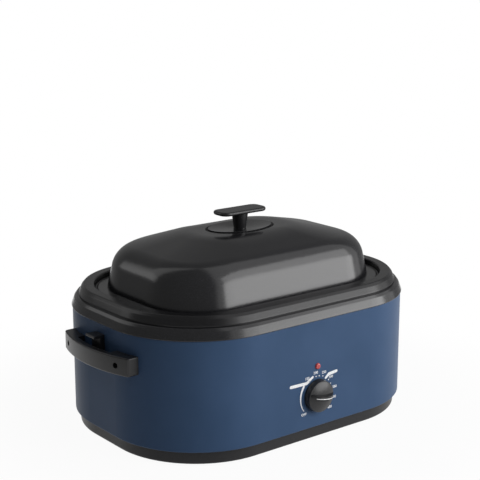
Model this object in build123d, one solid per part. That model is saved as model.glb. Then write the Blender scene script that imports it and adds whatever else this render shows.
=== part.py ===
from build123d import *
import os
from math import sqrt

os.makedirs("parts", exist_ok=True)

# Electric roaster oven, in millimetres. X runs along the long side, -Y is the front with
# the knob, +Z is up, and Z = 0 is the surface that the feet stand on.
# An inset is always measured inward from the plan outline of the painted body.

# ------------------------------------------------------------------ driving dimensions
# Painted body
body_length = 544.0
body_depth = 390.0
body_corner = 156.0
body_height = 175.0
body_gauge = 0.8
body_bend = 2.0
body_hem = 12.0            # inward turn along the bottom edge
body_top_flange = 40.0     # inward turn along the top edge

# Black top rim
rim_gauge = 1.2
rim_overhang = 2.0         # how far the skirt stands out from the body
rim_skirt_drop = 1.0       # how far the skirt reaches below the body's top edge
rim_lean = 5.0             # inward lean of the skirt
rim_bevel_width = 3.5
rim_bevel_height = 4.5
rim_hem_bend = 1.0         # under the skirt
rim_crease = 1.5           # at the bevel
rim_step = 14.5            # from the flat top down to the ledge
rim_step_draft = 1.5
rim_opening = 31.0         # inset of the opening in the flat top
rim_ledge_end = 42.5       # inset where the ledge stops
rim_bend = 2.0

# Well that the pan hangs in
well_wall = 44.0           # inset
well_gauge = 0.8
well_floor = 64.0
well_bend = 22.0
well_flange = 34.5         # inset where the flange starts

# Roasting pan
pan_gauge = 1.0
pan_rim = 10.5             # inset of the rim's skirt
pan_rim_height = 16.0
pan_rim_foot = 2.5         # upright foot of the skirt
pan_rim_lean = 4.0         # inward lean of the skirt
pan_bevel_width = 4.0
pan_bevel_height = 4.5
pan_opening = 35.0         # inset
pan_ledge_drop = 10.5
pan_ledge_draft = 1.5
pan_wall = 52.0            # inset
pan_floor = 79.0
pan_bend = 31.0
pan_small_bend = 2.5

# Lid
lid_gauge = 1.0
lid_flange_gap = 5.0       # between the flange and the pan's opening
lid_flange_width = 16.0
lid_flange_height = 3.6
lid_wall_lean = 14.4       # inward lean of the wall up to the shoulder
lid_wall_height = 65.5
lid_shoulder_bend = 42.0
lid_height = 91.0          # from the ledge to the crown
crown_end_inset = 175.0    # of the crown's ends
crown_side_inset = 133.0   # of its front and back
crown_end_flat = 4.0       # straight stretch of each end
crown_bend = 120.0
dish_length = 128.0
dish_width = 86.0
dish_depth = 7.0
dish_draft = 3.5

# Lid handle
plate_length = 92.0
plate_width = 38.0
plate_thickness = 6.5
plate_corner = 13.0
plate_edge = 3.0
stem_height = 26.0
stem_top = 27.5
stem_foot = 20.0
saucer_length = 118.0
saucer_width = 76.0
saucer_rise = 3.5
saucer_gauge = 2.0
saucer_boss_height = 3.0
lid_screw = 5.0
lid_screw_depth = 18.0
washer_diameter = 20.0
washer_gauge = 1.5

# Bow handles on the ends
handle_height = 29.0
handle_drop = 46.5         # from the body's top edge down to the handle's middle
handle_reach = 27.0        # middle of the bow beyond the end of the body
handle_corner_reach = 9.5
handle_span = 182.0
handle_bar = 10.0
handle_opening = 94.0      # finger gap, front to back
handle_edge = 2.0
handle_screw = 5.0
handle_screw_spread = 136.0
handle_recess = 9.0
handle_recess_floor = 6.0  # left between the screw head and the body

# Hook bracket behind each bow handle
hook_width = 24.0
hook_post = 8.0
hook_reach = 19.0
hook_height = 38.0
hook_drop = 16.0           # from the body's top edge down to the hook's top
hook_lip = 4.5
hook_edge = 2.0
rivet_diameter = 4.0
rivet_spread = 12.0

# Controls on the front
knob_height = 77.5
knob_diameter = 53.0
knob_gap = 1.0
knob_skirt = 10.0
knob_draft = 1.5
knob_edge = 1.2
knob_dome = 5.0            # from the skirt's face to the top of the dome
knob_crown = 13.0          # from the skirt's face to the top of the grip
knob_grip = 7.0
knob_grip_foot = 11.0      # width of the grip where it meets the skirt's face
knob_wall = 2.5
knob_angle = 98.0          # where the grip points at rest, clockwise from the top
boss_diameter = 12.0
clip_gauge = 0.8
clip_width = 2.0
shaft_diameter = 6.0
shaft_clearance = 0.05
shaft_flat = 1.2
bush_diameter = 10.0
bush_reach = 4.0
nut_width = 14.0
nut_height = 2.5
thermostat_width = 34.0
thermostat_height = 40.0
thermostat_depth = 24.0
thermostat_edge = 3.0
lamp_height = 125.0
lamp_diameter = 10.0
lamp_rise = 3.0
lamp_barrel = 8.0
lamp_length = 10.0

# Heater and insulation, inside the body
band_low = 84.0
band_height = 46.0
band_gauge = 3.0
band_split = 18.0
lug_reach = 9.0
lug_height = 24.0
lug_gauge = 1.6
clamp_bolt = 4.0
blanket_gauge = 8.0
blanket_height = 112.0
blanket_window = 52.0
shield_drop = 16.0         # from the well down to the heat shield
shield_gauge = 0.8
shield_inset = 22.0
shield_lip = 8.0
shield_bend = 2.0
bulb_diameter = 6.0
bulb_length = 80.0
bulb_above_blanket = 6.0
capillary_diameter = 2.0
capillary_bend = 7.2

# Bottom tray, feet and ties
foot_drop = 3.0            # how far the feet stand proud of the tray
foot_diameter = 24.0
foot_stem = 8.0
foot_barb = 11.0
foot_end_inset = 92.0
foot_side_inset = 85.0
tray_height = 22.0
tray_inset = 8.0
tray_gauge = 2.5
tray_bend = 4.0
tray_lip = 7.0
slot_length = 60.0
slot_width = 4.0
slot_pitch = 14.0
slot_count = 5
slot_spacing = 140.0
tie_spacing_x = 300.0
tie_spacing_y = 140.0
tie_diameter = 6.0
tie_boss = 18.0
tie_nut = 10.0
tie_nut_height = 5.0
tie_nut_depth = 9.0
tie_weld = 2.0

# Cord gland and terminal block at the rear
gland_height = 52.0
gland_bore = 8.0           # grips the cord, outside the shell
gland_mouth = 11.0         # wider way through the shell
gland_mouth_end = 1.0      # how far the mouth reaches beyond the shell
gland_barrel = 18.0
gland_flange = 26.0
gland_nose = 16.0
gland_rise = 9.0
gland_inside = 8.0
block_length = 42.0
block_width = 18.0
block_height = 16.0
block_offset = 128.0
block_edge = 1.5

# Wire rack
rack_wire = 4.0
cross_wire = 3.0
loop_wire = 3.4
rack_inset = 88.0
cross_pitch = 24.0
cross_count = 13
loop_top = 63.0
loop_foot = 92.0
loop_inset = 73.0
loop_above_rim = 8.0
loop_bend = 9.0

# Clearances
hole_gap = 0.1             # radial, round screws and shanks
lie_gap = 0.05             # between curved faces that lie on each other
rest_gap = 0.3             # under a round wire that stands on a pressed floor
overlap = 1.0              # of two blocks that are joined into one

# ------------------------------------------------------------------ worked-out places
half_length = body_length / 2
half_depth = body_depth / 2
front = -half_depth
tray_bottom = foot_drop
tray_top = tray_bottom + tray_height
foot_spacing_x = body_length - 2 * foot_end_inset
foot_spacing_y = body_depth - 2 * foot_side_inset
body_top = tray_top + body_height
handle_centre = body_top - handle_drop
hook_top = body_top - hook_drop
rim_ledge = body_top + well_gauge + rim_gauge
rim_top = rim_ledge + rim_step
pan_top = rim_top + pan_rim_height
pan_ledge = pan_top - pan_ledge_drop
lid_flange = pan_opening + lid_flange_gap
lid_wall = lid_flange + lid_flange_width
lid_flange_top = pan_ledge + lid_flange_height
lid_shoulder = pan_ledge + lid_wall_height
lid_crown = pan_ledge + lid_height
crown_length = body_length - 2 * crown_end_inset
crown_depth = body_depth - 2 * crown_side_inset
crown_corner = (crown_depth - crown_end_flat) / 2
dish_floor = lid_crown - dish_depth
saucer_low = dish_floor + saucer_boss_height
stem_low = saucer_low + saucer_gauge
plate_low = stem_low + stem_height
well_low = well_floor - well_gauge
shield_top = well_low - shield_drop
band_outer = well_wall - well_gauge - lie_gap - band_gauge
band_middle = band_low + band_height / 2
blanket_inner = band_outer - lie_gap
blanket_top = shield_top + blanket_height
knob_face = knob_gap + knob_skirt
knob_top = knob_face + knob_crown
knob_bore_end = knob_face + knob_dome - knob_wall / 2
centring = (knob_top - gland_rise) / 2

upright = (Align.CENTER, Align.CENTER, Align.MIN)
panel = Plane(origin=(0, front, knob_height), x_dir=(1, 0, 0), z_dir=(0, -1, 0))
lamp_panel = Plane(origin=(0, front, lamp_height), x_dir=(1, 0, 0), z_dir=(0, -1, 0))
rear_panel = Plane(origin=(0, half_depth, gland_height), x_dir=(-1, 0, 0), z_dir=(0, 1, 0))


# ------------------------------------------------------------------ helpers
def save(shape, node):
    """Writes one node, moved so that the whole oven is centred front to back."""
    shape = Pos(0, centring, 0) * shape
    shape.label = node
    export_step(shape, f"parts/{node}.step")
    print(node, round(shape.volume))


def outline(inset):
    """Plan of the body, moved inward."""
    return RectangleRounded(body_length - 2 * inset, body_depth - 2 * inset, body_corner - inset)


def slab(inset, low, high):
    """Flat plate or block with the body's plan."""
    return Pos(0, 0, low) * extrude(outline(inset), high - low)


def track():
    """Plan outline of the body that starts at the middle of the front."""
    run_x, run_y = half_length - body_corner, half_depth - body_corner
    centres = [(run_x, -run_y), (run_x, run_y), (-run_x, run_y), (-run_x, -run_y)]
    arcs = [CenterArc(centre, body_corner, 90 * turn - 90, 90) for turn, centre in enumerate(centres)]
    edges = [Line((0, front), arcs[0] @ 0), arcs[0]]
    for arc, following in zip(arcs, arcs[1:]):
        edges += [Line(arc @ 1, following @ 0), following]
    return Wire(edges + [Line(arcs[-1] @ 1, (0, front))])


def ring(section):
    """Carries a section, drawn in (inset, height), round the body's plan."""
    return sweep(Plane.YZ * Pos(front, 0, 0) * section, path=track())


def pressed(points, bends, gauge):
    """Section of bent sheet. The points run along the face that shows, with the metal on
    their right, and each inner point has its bend radius."""
    return make_face(offset(FilletPolyline(*points, radius=bends), amount=gauge, side=Side.RIGHT))


def bar_section(inset, width, low, height):
    """Rectangular section that starts at an inset and a height."""
    return Pos(inset + width / 2, low + height / 2) * Rectangle(width, height)


def end_face(y, inset=0.0):
    """X of the body's right end at a given Y."""
    radius, bend_start = body_corner - inset, half_depth - body_corner
    past = max(abs(y) - bend_start, 0)
    return half_length - body_corner + sqrt(radius**2 - past**2)


def rod(start, end, diameter):
    """Round bar between two points."""
    path = Line(start, end)
    return sweep(Plane(origin=path @ 0, z_dir=path % 0) * Circle(diameter / 2), path=path)


def turned(plane, points):
    """Solid of revolution about the plane's normal, from (radius, height) points."""
    section = make_face(Polyline(*[(radius, 0, height) for radius, height in points], close=True))
    return plane * revolve(section, axis=Axis.Z)


def corners(spacing_x, spacing_y):
    """The four corners of a rectangle, each with its name."""
    return {
        f"{depth_name}_{side_name}": (side * spacing_x / 2, depth * spacing_y / 2)
        for depth, depth_name in ((-1, "front"), (1, "rear"))
        for side, side_name in ((-1, "left"), (1, "right"))
    }


def both_ends(shape):
    """A shape at the right end with its mirror image at the left."""
    return {"right": shape, "left": mirror(shape, about=Plane.YZ)}


handle_screw_places = [
    (side, y) for side in (-1, 1) for y in (-handle_screw_spread / 2, handle_screw_spread / 2)
]
rivet_places = [(side, y) for side in (-1, 1) for y in (-rivet_spread / 2, rivet_spread / 2)]
rivet_height = hook_top - hook_height / 2


# ------------------------------------------------------------------ body and rim
def outer_shell():
    line = [
        (body_hem, tray_top), (0, tray_top), (0, body_top), (body_top_flange, body_top),
    ]
    shell = ring(pressed(line, [body_bend, body_bend], body_gauge))
    reach = 4 * body_bend
    shell -= panel * Cylinder(bush_diameter / 2 + hole_gap, reach)
    shell -= lamp_panel * Cylinder(lamp_barrel / 2 + hole_gap, reach)
    shell -= rear_panel * Cylinder(gland_barrel / 2 + hole_gap, reach)
    for side, y in handle_screw_places:
        place = (side * end_face(y), y, handle_centre)
        shell -= Pos(*place) * Rot(0, 90, 0) * Cylinder(handle_screw / 2 + hole_gap, reach)
    for side, y in rivet_places:
        place = (side * half_length, y, rivet_height)
        shell -= Pos(*place) * Rot(0, 90, 0) * Cylinder(rivet_diameter / 2 + hole_gap, reach)
    return shell


def top_rim():
    skirt_low = body_top - rim_skirt_drop
    bevel_start = rim_lean - rim_overhang
    line = [
        (-lie_gap, skirt_low),
        (-rim_overhang, skirt_low),
        (bevel_start, rim_top - rim_bevel_height),
        (bevel_start + rim_bevel_width, rim_top),
        (rim_opening, rim_top),
        (rim_opening + rim_step_draft, rim_ledge),
        (rim_ledge_end, rim_ledge),
    ]
    bends = [rim_hem_bend, rim_crease, rim_crease, rim_bend, rim_bend]
    return ring(pressed(line, bends, rim_gauge))


def well():
    floor_end = well_wall + 1.5 * well_bend
    flange_top = body_top + well_gauge
    line = [
        (well_flange, flange_top), (well_wall, flange_top),
        (well_wall, well_floor), (floor_end, well_floor),
    ]
    wall = ring(pressed(line, [1.5 * well_gauge, well_bend], well_gauge))
    return wall + slab(floor_end - overlap, well_low, well_floor)


# ------------------------------------------------------------------ heater and insulation
def heater_band():
    band = ring(bar_section(band_outer, band_gauge, band_low, band_height))
    split = Box(band_split, 4 * band_gauge, 2 * band_height)
    band -= Pos(0, half_depth - band_outer, band_middle) * split
    lug_y = half_depth - band_outer + lug_reach / 2
    for side in (-1, 1):
        place = Pos(side * (band_split + lug_gauge) / 2, lug_y, band_middle)
        band += place * Box(lug_gauge, lug_reach, lug_height)
        band -= place * Rot(0, 90, 0) * Cylinder(clamp_bolt / 2 + hole_gap, 2 * lug_gauge)
    return band


def heater_clamp_bolt():
    lug_outside = band_split / 2 + lug_gauge
    place = Pos(0, half_depth - band_outer + lug_reach / 2, band_middle) * Rot(0, 90, 0)
    shank = Cylinder(clamp_bolt / 2, 2 * lug_outside + 2 * clamp_bolt)
    head = Pos(0, 0, lug_outside + clamp_bolt / 2) * Cylinder(clamp_bolt, clamp_bolt)
    nut = extrude(RegularPolygon(clamp_bolt, 6), clamp_bolt / 2, both=True)
    return place * (shank + head + Pos(0, 0, -lug_outside - clamp_bolt / 2) * nut)


def insulation_blanket():
    blanket = ring(bar_section(blanket_inner - blanket_gauge, blanket_gauge, shield_top, blanket_height))
    window = Box(blanket_window, 4 * blanket_gauge, band_height + 2 * lug_gauge)
    return blanket - Pos(0, half_depth - blanket_inner, band_middle) * window


def heat_shield():
    inner, underside = shield_inset + 3 * shield_lip, shield_top - shield_gauge
    line = [(inner, underside), (shield_inset, underside), (shield_inset, shield_top + shield_lip)]
    tray = ring(pressed(line, [shield_bend], shield_gauge)) + slab(inner - overlap, underside, shield_top)
    for x, y in corners(tie_spacing_x, tie_spacing_y).values():
        tray -= Pos(x, y, shield_top) * Cylinder(tie_diameter / 2 + 3 * hole_gap, 4 * shield_gauge)
    return tray


# ------------------------------------------------------------------ bottom tray, feet, ties
def base_tray():
    floor_end = tray_inset + 3 * tray_bend
    floor_top = tray_bottom + tray_gauge
    line = [(floor_end, tray_bottom), (tray_inset, tray_bottom), (tray_inset, tray_top)]
    wall = pressed(line, [tray_bend], tray_gauge)
    lip_start = body_hem + hole_gap
    lip_width, lip_low = lip_start + tray_gauge - tray_inset, tray_top - tray_gauge
    shoulder = bar_section(tray_inset, lip_width, lip_low, tray_gauge)
    lip = bar_section(lip_start, tray_gauge, lip_low, tray_gauge + tray_lip)
    tray = ring(wall + shoulder + lip) + slab(floor_end - overlap, tray_bottom, floor_top)
    boss_height = shield_top - shield_gauge - tray_bottom
    for x, y in corners(tie_spacing_x, tie_spacing_y).values():
        boss = Cylinder(tie_boss / 2, boss_height, align=upright)
        boss -= Cylinder(tie_diameter / 2 + 3 * hole_gap, 3 * boss_height)
        boss -= Cylinder(tie_boss / 2 - tray_gauge, 2 * tie_nut_depth)
        tray -= Pos(x, y, tray_bottom) * Cylinder(tie_boss / 2 - tray_gauge, 4 * tray_gauge)
        tray += Pos(x, y, tray_bottom) * boss
    for x, y in corners(foot_spacing_x, foot_spacing_y).values():
        tray -= Pos(x, y, tray_bottom) * Cylinder(foot_stem / 2 + hole_gap, 4 * tray_gauge)
    for side in (-1, 1):
        for row in range(slot_count):
            place = Pos(side * slot_spacing / 2, (row - (slot_count - 1) / 2) * slot_pitch, 0)
            tray -= place * extrude(SlotOverall(slot_length, slot_width), tray_bottom + 2 * tray_gauge)
    return tray


def foot(x, y):
    edge = foot_drop / 3
    floor_top = foot_drop + tray_gauge
    return turned(Plane((x, y, 0)), [
        (0, 0), (foot_diameter / 2 - edge, 0), (foot_diameter / 2, edge), (foot_diameter / 2, foot_drop),
        (foot_stem / 2, foot_drop), (foot_stem / 2, floor_top), (foot_barb / 2, floor_top),
        (foot_stem / 3, floor_top + foot_barb / 2), (0, floor_top + foot_barb / 2),
    ])


def tie_bolt(x, y):
    low = tray_bottom + tie_nut_depth - tie_nut_height - tie_weld / 2
    return turned(Plane((x, y, 0)), [
        (0, low), (tie_diameter / 2, low), (tie_diameter / 2, well_low - tie_weld),
        (tie_diameter, well_low - tie_weld), (tie_diameter, well_low), (0, well_low),
    ])


def tie_hex_nut(x, y):
    nut = extrude(RegularPolygon(tie_nut / 2, 6, major_radius=False), tie_nut_height)
    nut -= Cylinder(tie_diameter / 2 + lie_gap, 4 * tie_nut_height)
    return Pos(x, y, tray_bottom + tie_nut_depth - tie_nut_height) * nut


# ------------------------------------------------------------------ handles and hooks
def bow_handle():
    """Right-hand handle: a bow in plan, cut to the curve of the body's end."""
    tip, middle = half_length + handle_corner_reach, half_length + handle_reach
    half_span, half_opening = handle_span / 2, handle_opening / 2
    bow = ThreePointArc((tip, -half_span), (middle, 0), (tip, half_span))
    inside_body = half_length - 3 * handle_corner_reach
    back = Polyline(
        (tip, half_span), (inside_body, half_span), (inside_body, -half_span), (tip, -half_span))
    plan = make_face(bow + back)
    plan = fillet(plan.vertices().sort_by(Axis.X)[-2:], 2.5 * handle_edge)
    inner_bow = Pos(middle - bow.radius, 0) * Circle(bow.radius - handle_bar)
    gap = inner_bow & Pos(middle - handle_bar, 0) * Rectangle(8 * handle_bar, handle_opening)
    bar = Pos(0, 0, handle_centre) * extrude(plan - gap, handle_height / 2, both=True)
    bow_face = bar.faces().filter_by(GeomType.CYLINDER).sort_by(SortBy.AREA)[-1]
    bar = fillet(bow_face.edges().filter_by(GeomType.CIRCLE), handle_edge)
    bar -= slab(-lie_gap, 0, rim_top)
    for y in (-handle_screw_spread / 2, handle_screw_spread / 2):
        seat = end_face(y) + handle_recess_floor
        across = Pos(seat, y, handle_centre) * Rot(0, 90, 0)
        bar -= across * Cylinder(handle_screw / 2 + hole_gap, 4 * handle_recess)
        bar -= across * Cylinder(handle_recess / 2, 4 * handle_recess, align=upright)
    return bar


def handle_screw_at(side, y):
    seat = end_face(y) + handle_recess_floor
    inside = end_face(y, body_gauge) - 2 * handle_screw
    head = handle_recess / 2 - hole_gap
    return turned(Plane((0, y, handle_centre), x_dir=(0, 1, 0), z_dir=(side, 0, 0)), [
        (0, inside), (handle_screw / 2, inside), (handle_screw / 2, seat), (head, seat),
        (head, seat + handle_screw / 4), (head / 2, seat + handle_screw / 2), (0, seat + handle_screw / 2),
    ])


def handle_nut_at(side, y):
    nut_face = end_face(abs(y) + handle_screw, body_gauge)
    nut = extrude(RegularPolygon(handle_screw * 0.8, 6, major_radius=False), handle_screw * 0.8)
    nut -= Cylinder(handle_screw / 2 + lie_gap, 4 * handle_screw)
    return Plane((side * nut_face, y, handle_centre), x_dir=(0, 1, 0), z_dir=(-side, 0, 0)) * nut


def lid_hook():
    """Right-hand hook: a post on the end of the body with a lip along its top."""
    low, taper = hook_top - hook_height, hook_post / 2
    post, reach = half_length + hook_post, half_length + hook_reach
    profile = make_face(Polyline(
        (half_length, low), (post - taper, low), (post, low + taper), (post, hook_top - hook_lip),
        (reach, hook_top - hook_lip), (reach, hook_top), (half_length, hook_top), close=True))
    profile = fillet(profile.vertices().sort_by(Axis.X)[-2:], hook_edge)
    hook = extrude(Plane.XZ * profile, hook_width / 2, both=True)
    for y in (-rivet_spread / 2, rivet_spread / 2):
        place = Pos(half_length, y, rivet_height) * Rot(0, 90, 0)
        hook -= place * Cylinder(rivet_diameter / 2 + hole_gap, hook_post)
    return hook


def rivet_at(side, y):
    inside, tip = half_length - body_gauge, half_length + hook_post / 3
    shank, head = rivet_diameter / 2, rivet_diameter
    return turned(Plane((0, y, rivet_height), x_dir=(0, 1, 0), z_dir=(side, 0, 0)), [
        (0, inside - shank), (shank, inside - shank), (head, inside - shank / 2), (head, inside),
        (shank, inside), (shank, tip), (0, tip),
    ])


# ------------------------------------------------------------------ controls
def cap(radius, low, rise):
    """Spherical cap that stands on a circle."""
    sphere = (radius**2 + rise**2) / (2 * rise)
    ball = Pos(0, 0, low + rise - sphere) * Sphere(sphere)
    return ball & Pos(0, 0, low) * Cylinder(2 * radius, 2 * rise, align=upright)


def control_knob():
    """Dial with a shallow dome and a grip across it, hollow behind."""
    foot_radius, face_radius = knob_diameter / 2, knob_diameter / 2 - knob_draft
    skirt = Pos(0, 0, knob_gap) * Cone(foot_radius, face_radius, knob_skirt, align=upright)
    head = fillet(skirt.edges().filter_by_position(Axis.Z, knob_face, knob_face), knob_edge)
    low_dome = cap(face_radius - knob_edge, knob_face, knob_dome)
    taper = make_face(Polyline(
        (-knob_grip_foot / 2, 0), (knob_grip_foot / 2, 0), (knob_grip / 2, knob_crown),
        (-knob_grip / 2, knob_crown), close=True))
    grip = Pos(0, 0, knob_face) * extrude(Plane.YZ * taper, knob_diameter, both=True)
    grip &= cap(face_radius - knob_edge, knob_face, knob_crown)
    hollow_top = knob_face - knob_wall
    hollow = Cylinder(foot_radius - knob_wall - knob_draft, hollow_top, align=upright)
    boss = Pos(0, 0, knob_gap + bush_reach) * Cylinder(boss_diameter / 2, hollow_top, align=upright)
    knob = head + low_dome + grip - (hollow - boss)
    bore = Cylinder(shaft_diameter / 2 + lie_gap, knob_bore_end, align=upright)
    return panel * Rot(0, 0, 90 - knob_angle) * (knob - (bore - shaft_flat_cut(lie_gap)))


def shaft_flat_cut(gap):
    """Block that is missing from the shaft along its flat."""
    flat = shaft_diameter / 2 - shaft_flat + gap
    block = Box(2 * shaft_diameter, 2 * shaft_diameter, knob_top, align=upright)
    return Pos(flat + shaft_diameter, 0, knob_gap + bush_reach) * block


def thermostat_shaft():
    low, high = -thermostat_depth + knob_wall, knob_bore_end - 2 * lie_gap
    shaft = Pos(0, 0, low) * Cylinder(shaft_diameter / 2, high - low, align=upright)
    return panel * Rot(0, 0, 90 - knob_angle) * (shaft - shaft_flat_cut(0))


def knob_clip():
    """Open spring ring round the knob's boss."""
    inner = boss_diameter / 2 + lie_gap
    clip = Cylinder(inner + clip_gauge, clip_width) - Cylinder(inner, 2 * clip_width)
    clip -= Pos(-inner, 0, 0) * Box(boss_diameter, clip_width, 2 * clip_width)
    height = knob_gap + bush_reach + clip_width / 2 + lie_gap
    return panel * Rot(0, 0, 90 - knob_angle) * Pos(0, 0, height) * clip


def thermostat_body():
    back = body_gauge + lie_gap
    case = Box(thermostat_width, thermostat_height, thermostat_depth)
    case = Pos(0, 0, -back - thermostat_depth / 2) * case
    case = fillet(case.edges().filter_by(Axis.Z), thermostat_edge)
    bush = Pos(0, 0, -back) * Cylinder(bush_diameter / 2, back + bush_reach, align=upright)
    return panel * (case + bush - Cylinder(shaft_diameter / 2 + shaft_clearance, 2 * thermostat_depth))


def thermostat_nut():
    nut = extrude(RegularPolygon(nut_width / 2, 6, major_radius=False), nut_height)
    return panel * (nut - Cylinder(bush_diameter / 2 + lie_gap, 4 * nut_height))


def indicator_lens():
    barrel, flange = lamp_barrel / 2, lamp_diameter / 2
    lens = turned(Plane.XY, [
        (0, -lamp_length), (barrel, -lamp_length), (barrel, 0),
        (flange, 0), (flange, lamp_rise), (0, lamp_rise),
    ])
    dome_edge = lens.edges().filter_by_position(Axis.Z, lamp_rise - lie_gap, lamp_rise + lie_gap)
    return lamp_panel * fillet(dome_edge, 0.8 * lamp_rise)


def lamp_holder():
    inner = lamp_barrel / 2 + lie_gap
    holder = Cylinder(inner + knob_wall, lamp_length) - Cylinder(inner, 2 * lamp_length)
    cap = Pos(0, 0, -lamp_length / 2 - knob_wall / 2) * Cylinder(inner + knob_wall, knob_wall)
    return lamp_panel * Pos(0, 0, -body_gauge - lie_gap - lamp_length / 2) * (holder + cap)


bulb_height = blanket_top + bulb_above_blanket
bulb_y = front + well_wall - well_gauge - lie_gap - bulb_diameter / 2
capillary_x = thermostat_width / 4


def thermostat_bulb():
    start = (-capillary_x, bulb_y, bulb_height)
    bulb = rod(start, (-capillary_x - bulb_length, bulb_y, bulb_height), bulb_diameter)
    return fillet(bulb.edges().filter_by(GeomType.CIRCLE), bulb_diameter / 4)


def thermostat_capillary():
    thermostat_top = knob_height + thermostat_height / 2
    thermostat_y = front + body_gauge + thermostat_depth / 2
    path = FilletPolyline(
        (capillary_x, thermostat_y, thermostat_top), (capillary_x, thermostat_y, bulb_height),
        (capillary_x, bulb_y, bulb_height), (-capillary_x, bulb_y, bulb_height), radius=capillary_bend)
    return sweep(Plane(origin=path @ 0, z_dir=path % 0) * Circle(capillary_diameter / 2), path=path)


# ------------------------------------------------------------------ rear
def cord_gland():
    inside = -body_gauge - gland_inside
    return rear_panel * turned(Plane.XY, [
        (gland_mouth / 2, inside), (gland_barrel / 2, inside), (gland_barrel / 2, 0),
        (gland_flange / 2, 0), (gland_flange / 2, gland_rise / 3), (gland_nose / 2, gland_rise),
        (gland_bore / 2, gland_rise), (gland_bore / 2, gland_mouth_end), (gland_mouth / 2, gland_mouth_end),
    ])


def gland_nut():
    nut = extrude(RegularPolygon(gland_flange / 2, 6, major_radius=False), gland_inside / 2)
    nut -= Cylinder(gland_barrel / 2 + lie_gap, gland_flange)
    return rear_panel * Pos(0, 0, -body_gauge - gland_inside / 2) * nut


def terminal_block():
    block = Box(block_length, block_width, block_height, align=upright)
    block = chamfer(block.faces().sort_by(Axis.Z)[-1].edges(), block_edge)
    pitch = block_length / 3
    for pole in (-1, 0, 1):
        for row in (-1, 1):
            well_place = Pos(pole * pitch, row * block_width / 4, block_height)
            block -= well_place * Cylinder(block_width / 8, block_height)
    return Pos(0, block_offset, tray_bottom + tray_gauge) * block


# ------------------------------------------------------------------ pan and rack
def roasting_pan():
    floor_end, bevel_start = pan_wall + 1.2 * pan_bend, pan_rim + pan_rim_lean
    line = [
        (pan_rim, rim_top), (pan_rim, rim_top + pan_rim_foot),
        (bevel_start, pan_top - pan_bevel_height), (bevel_start + pan_bevel_width, pan_top),
        (pan_opening, pan_top), (pan_opening + pan_ledge_draft, pan_ledge), (pan_wall, pan_ledge),
        (pan_wall, pan_floor), (floor_end, pan_floor),
    ]
    wall = ring(pressed(line, 6 * [pan_small_bend] + [pan_bend], pan_gauge))
    return wall + slab(floor_end - overlap, pan_floor - pan_gauge, pan_floor)


rack_height = pan_floor + rest_gap + rack_wire / 2
rack_half_length = half_length - rack_inset
rack_half_depth = half_depth - rack_inset


def rack_frame():
    path = Pos(0, 0, rack_height) * outline(rack_inset).wire()
    return sweep(Plane(origin=path @ 0, z_dir=path % 0) * Circle(rack_wire / 2), path=path)


def rack_cross_wires():
    height = rack_height + rack_wire / 2 + cross_wire / 2 + lie_gap
    corner = body_corner - rack_inset
    wires = []
    for number in range(cross_count):
        x = (number - (cross_count - 1) / 2) * cross_pitch
        past = max(abs(x) - (rack_half_length - corner), 0)
        reach = rack_half_depth - corner + sqrt(corner**2 - past**2) + rack_wire / 4
        wires.append(rod((x, -reach, height), (x, reach, height), cross_wire))
    return Compound(wires)


def rack_loop():
    """Right-hand lifting loop, a trapezium of wire that leans outward."""
    top = pan_top + loop_above_rim - loop_wire / 2
    foot_height = rack_height + rack_wire / 2 + 8 * lie_gap
    foot_x, top_x = rack_half_length, half_length - loop_inset
    path = FilletPolyline(
        (foot_x, -loop_foot / 2, foot_height), (top_x, -loop_top / 2, top), (top_x, loop_top / 2, top),
        (foot_x, loop_foot / 2, foot_height), radius=loop_bend)
    return sweep(Plane(origin=path @ 0, z_dir=path % 0) * Circle(loop_wire / 2), path=path)


# ------------------------------------------------------------------ lid
def lid_dome(skin):
    """Solid dome of the lid with every face moved inward by a skin."""
    low = lid_flange_top - lid_gauge
    sections = [
        Pos(0, 0, low) * outline(lid_wall + skin),
        Pos(0, 0, lid_shoulder - skin) * outline(lid_wall + lid_wall_lean + skin),
        Pos(0, 0, lid_crown - skin) * RectangleRounded(
            crown_length - 2 * skin, crown_depth - 2 * skin, crown_corner - skin),
    ]
    dome = loft(sections, ruled=True)
    for height, bend in ((lid_shoulder, lid_shoulder_bend), (lid_crown, crown_bend)):
        edges = dome.edges().filter_by_position(Axis.Z, height - skin - lie_gap, height - skin + lie_gap)
        dome = fillet(edges, bend - skin)
    long, wide = dish_length / 2 + skin, dish_width / 2 + skin
    mouth = Pos(0, 0, lid_crown - skin + overlap) * Ellipse(long, wide)
    floor = Pos(0, 0, dish_floor - skin) * Ellipse(long - dish_draft, wide - dish_draft)
    return dome - loft([floor, mouth])


def lid_shell():
    line = [
        (lid_flange, pan_ledge), (lid_flange, lid_flange_top), (lid_wall + 2 * lid_gauge, lid_flange_top),
    ]
    flange = ring(pressed(line, [lid_flange_height - lid_gauge], lid_gauge))
    lid = flange + lid_dome(0)
    lid -= lid_dome(lid_gauge)
    lid -= slab(lid_wall + lid_gauge, pan_ledge, lid_flange_top - lid_gauge)
    return lid - Pos(0, 0, dish_floor) * Cylinder(lid_screw / 2 + hole_gap, 8 * lid_gauge)


def lid_saucer():
    low = Ellipse(stem_top / 2, stem_top / 2)
    high = Ellipse(saucer_length / 2, saucer_width / 2)
    outer = loft([Pos(0, 0, saucer_low) * low, Pos(0, 0, saucer_low + saucer_rise) * high])
    rim_band = Pos(0, 0, saucer_low + saucer_rise) * extrude(high, saucer_gauge)
    saucer = outer + rim_band - Pos(0, 0, saucer_gauge) * outer
    saucer += Pos(0, 0, dish_floor) * extrude(Circle(stem_foot / 2), saucer_boss_height + saucer_gauge / 2)
    return saucer - Pos(0, 0, saucer_low) * Cylinder(lid_screw / 2 + hole_gap, 4 * saucer_rise)


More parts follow.
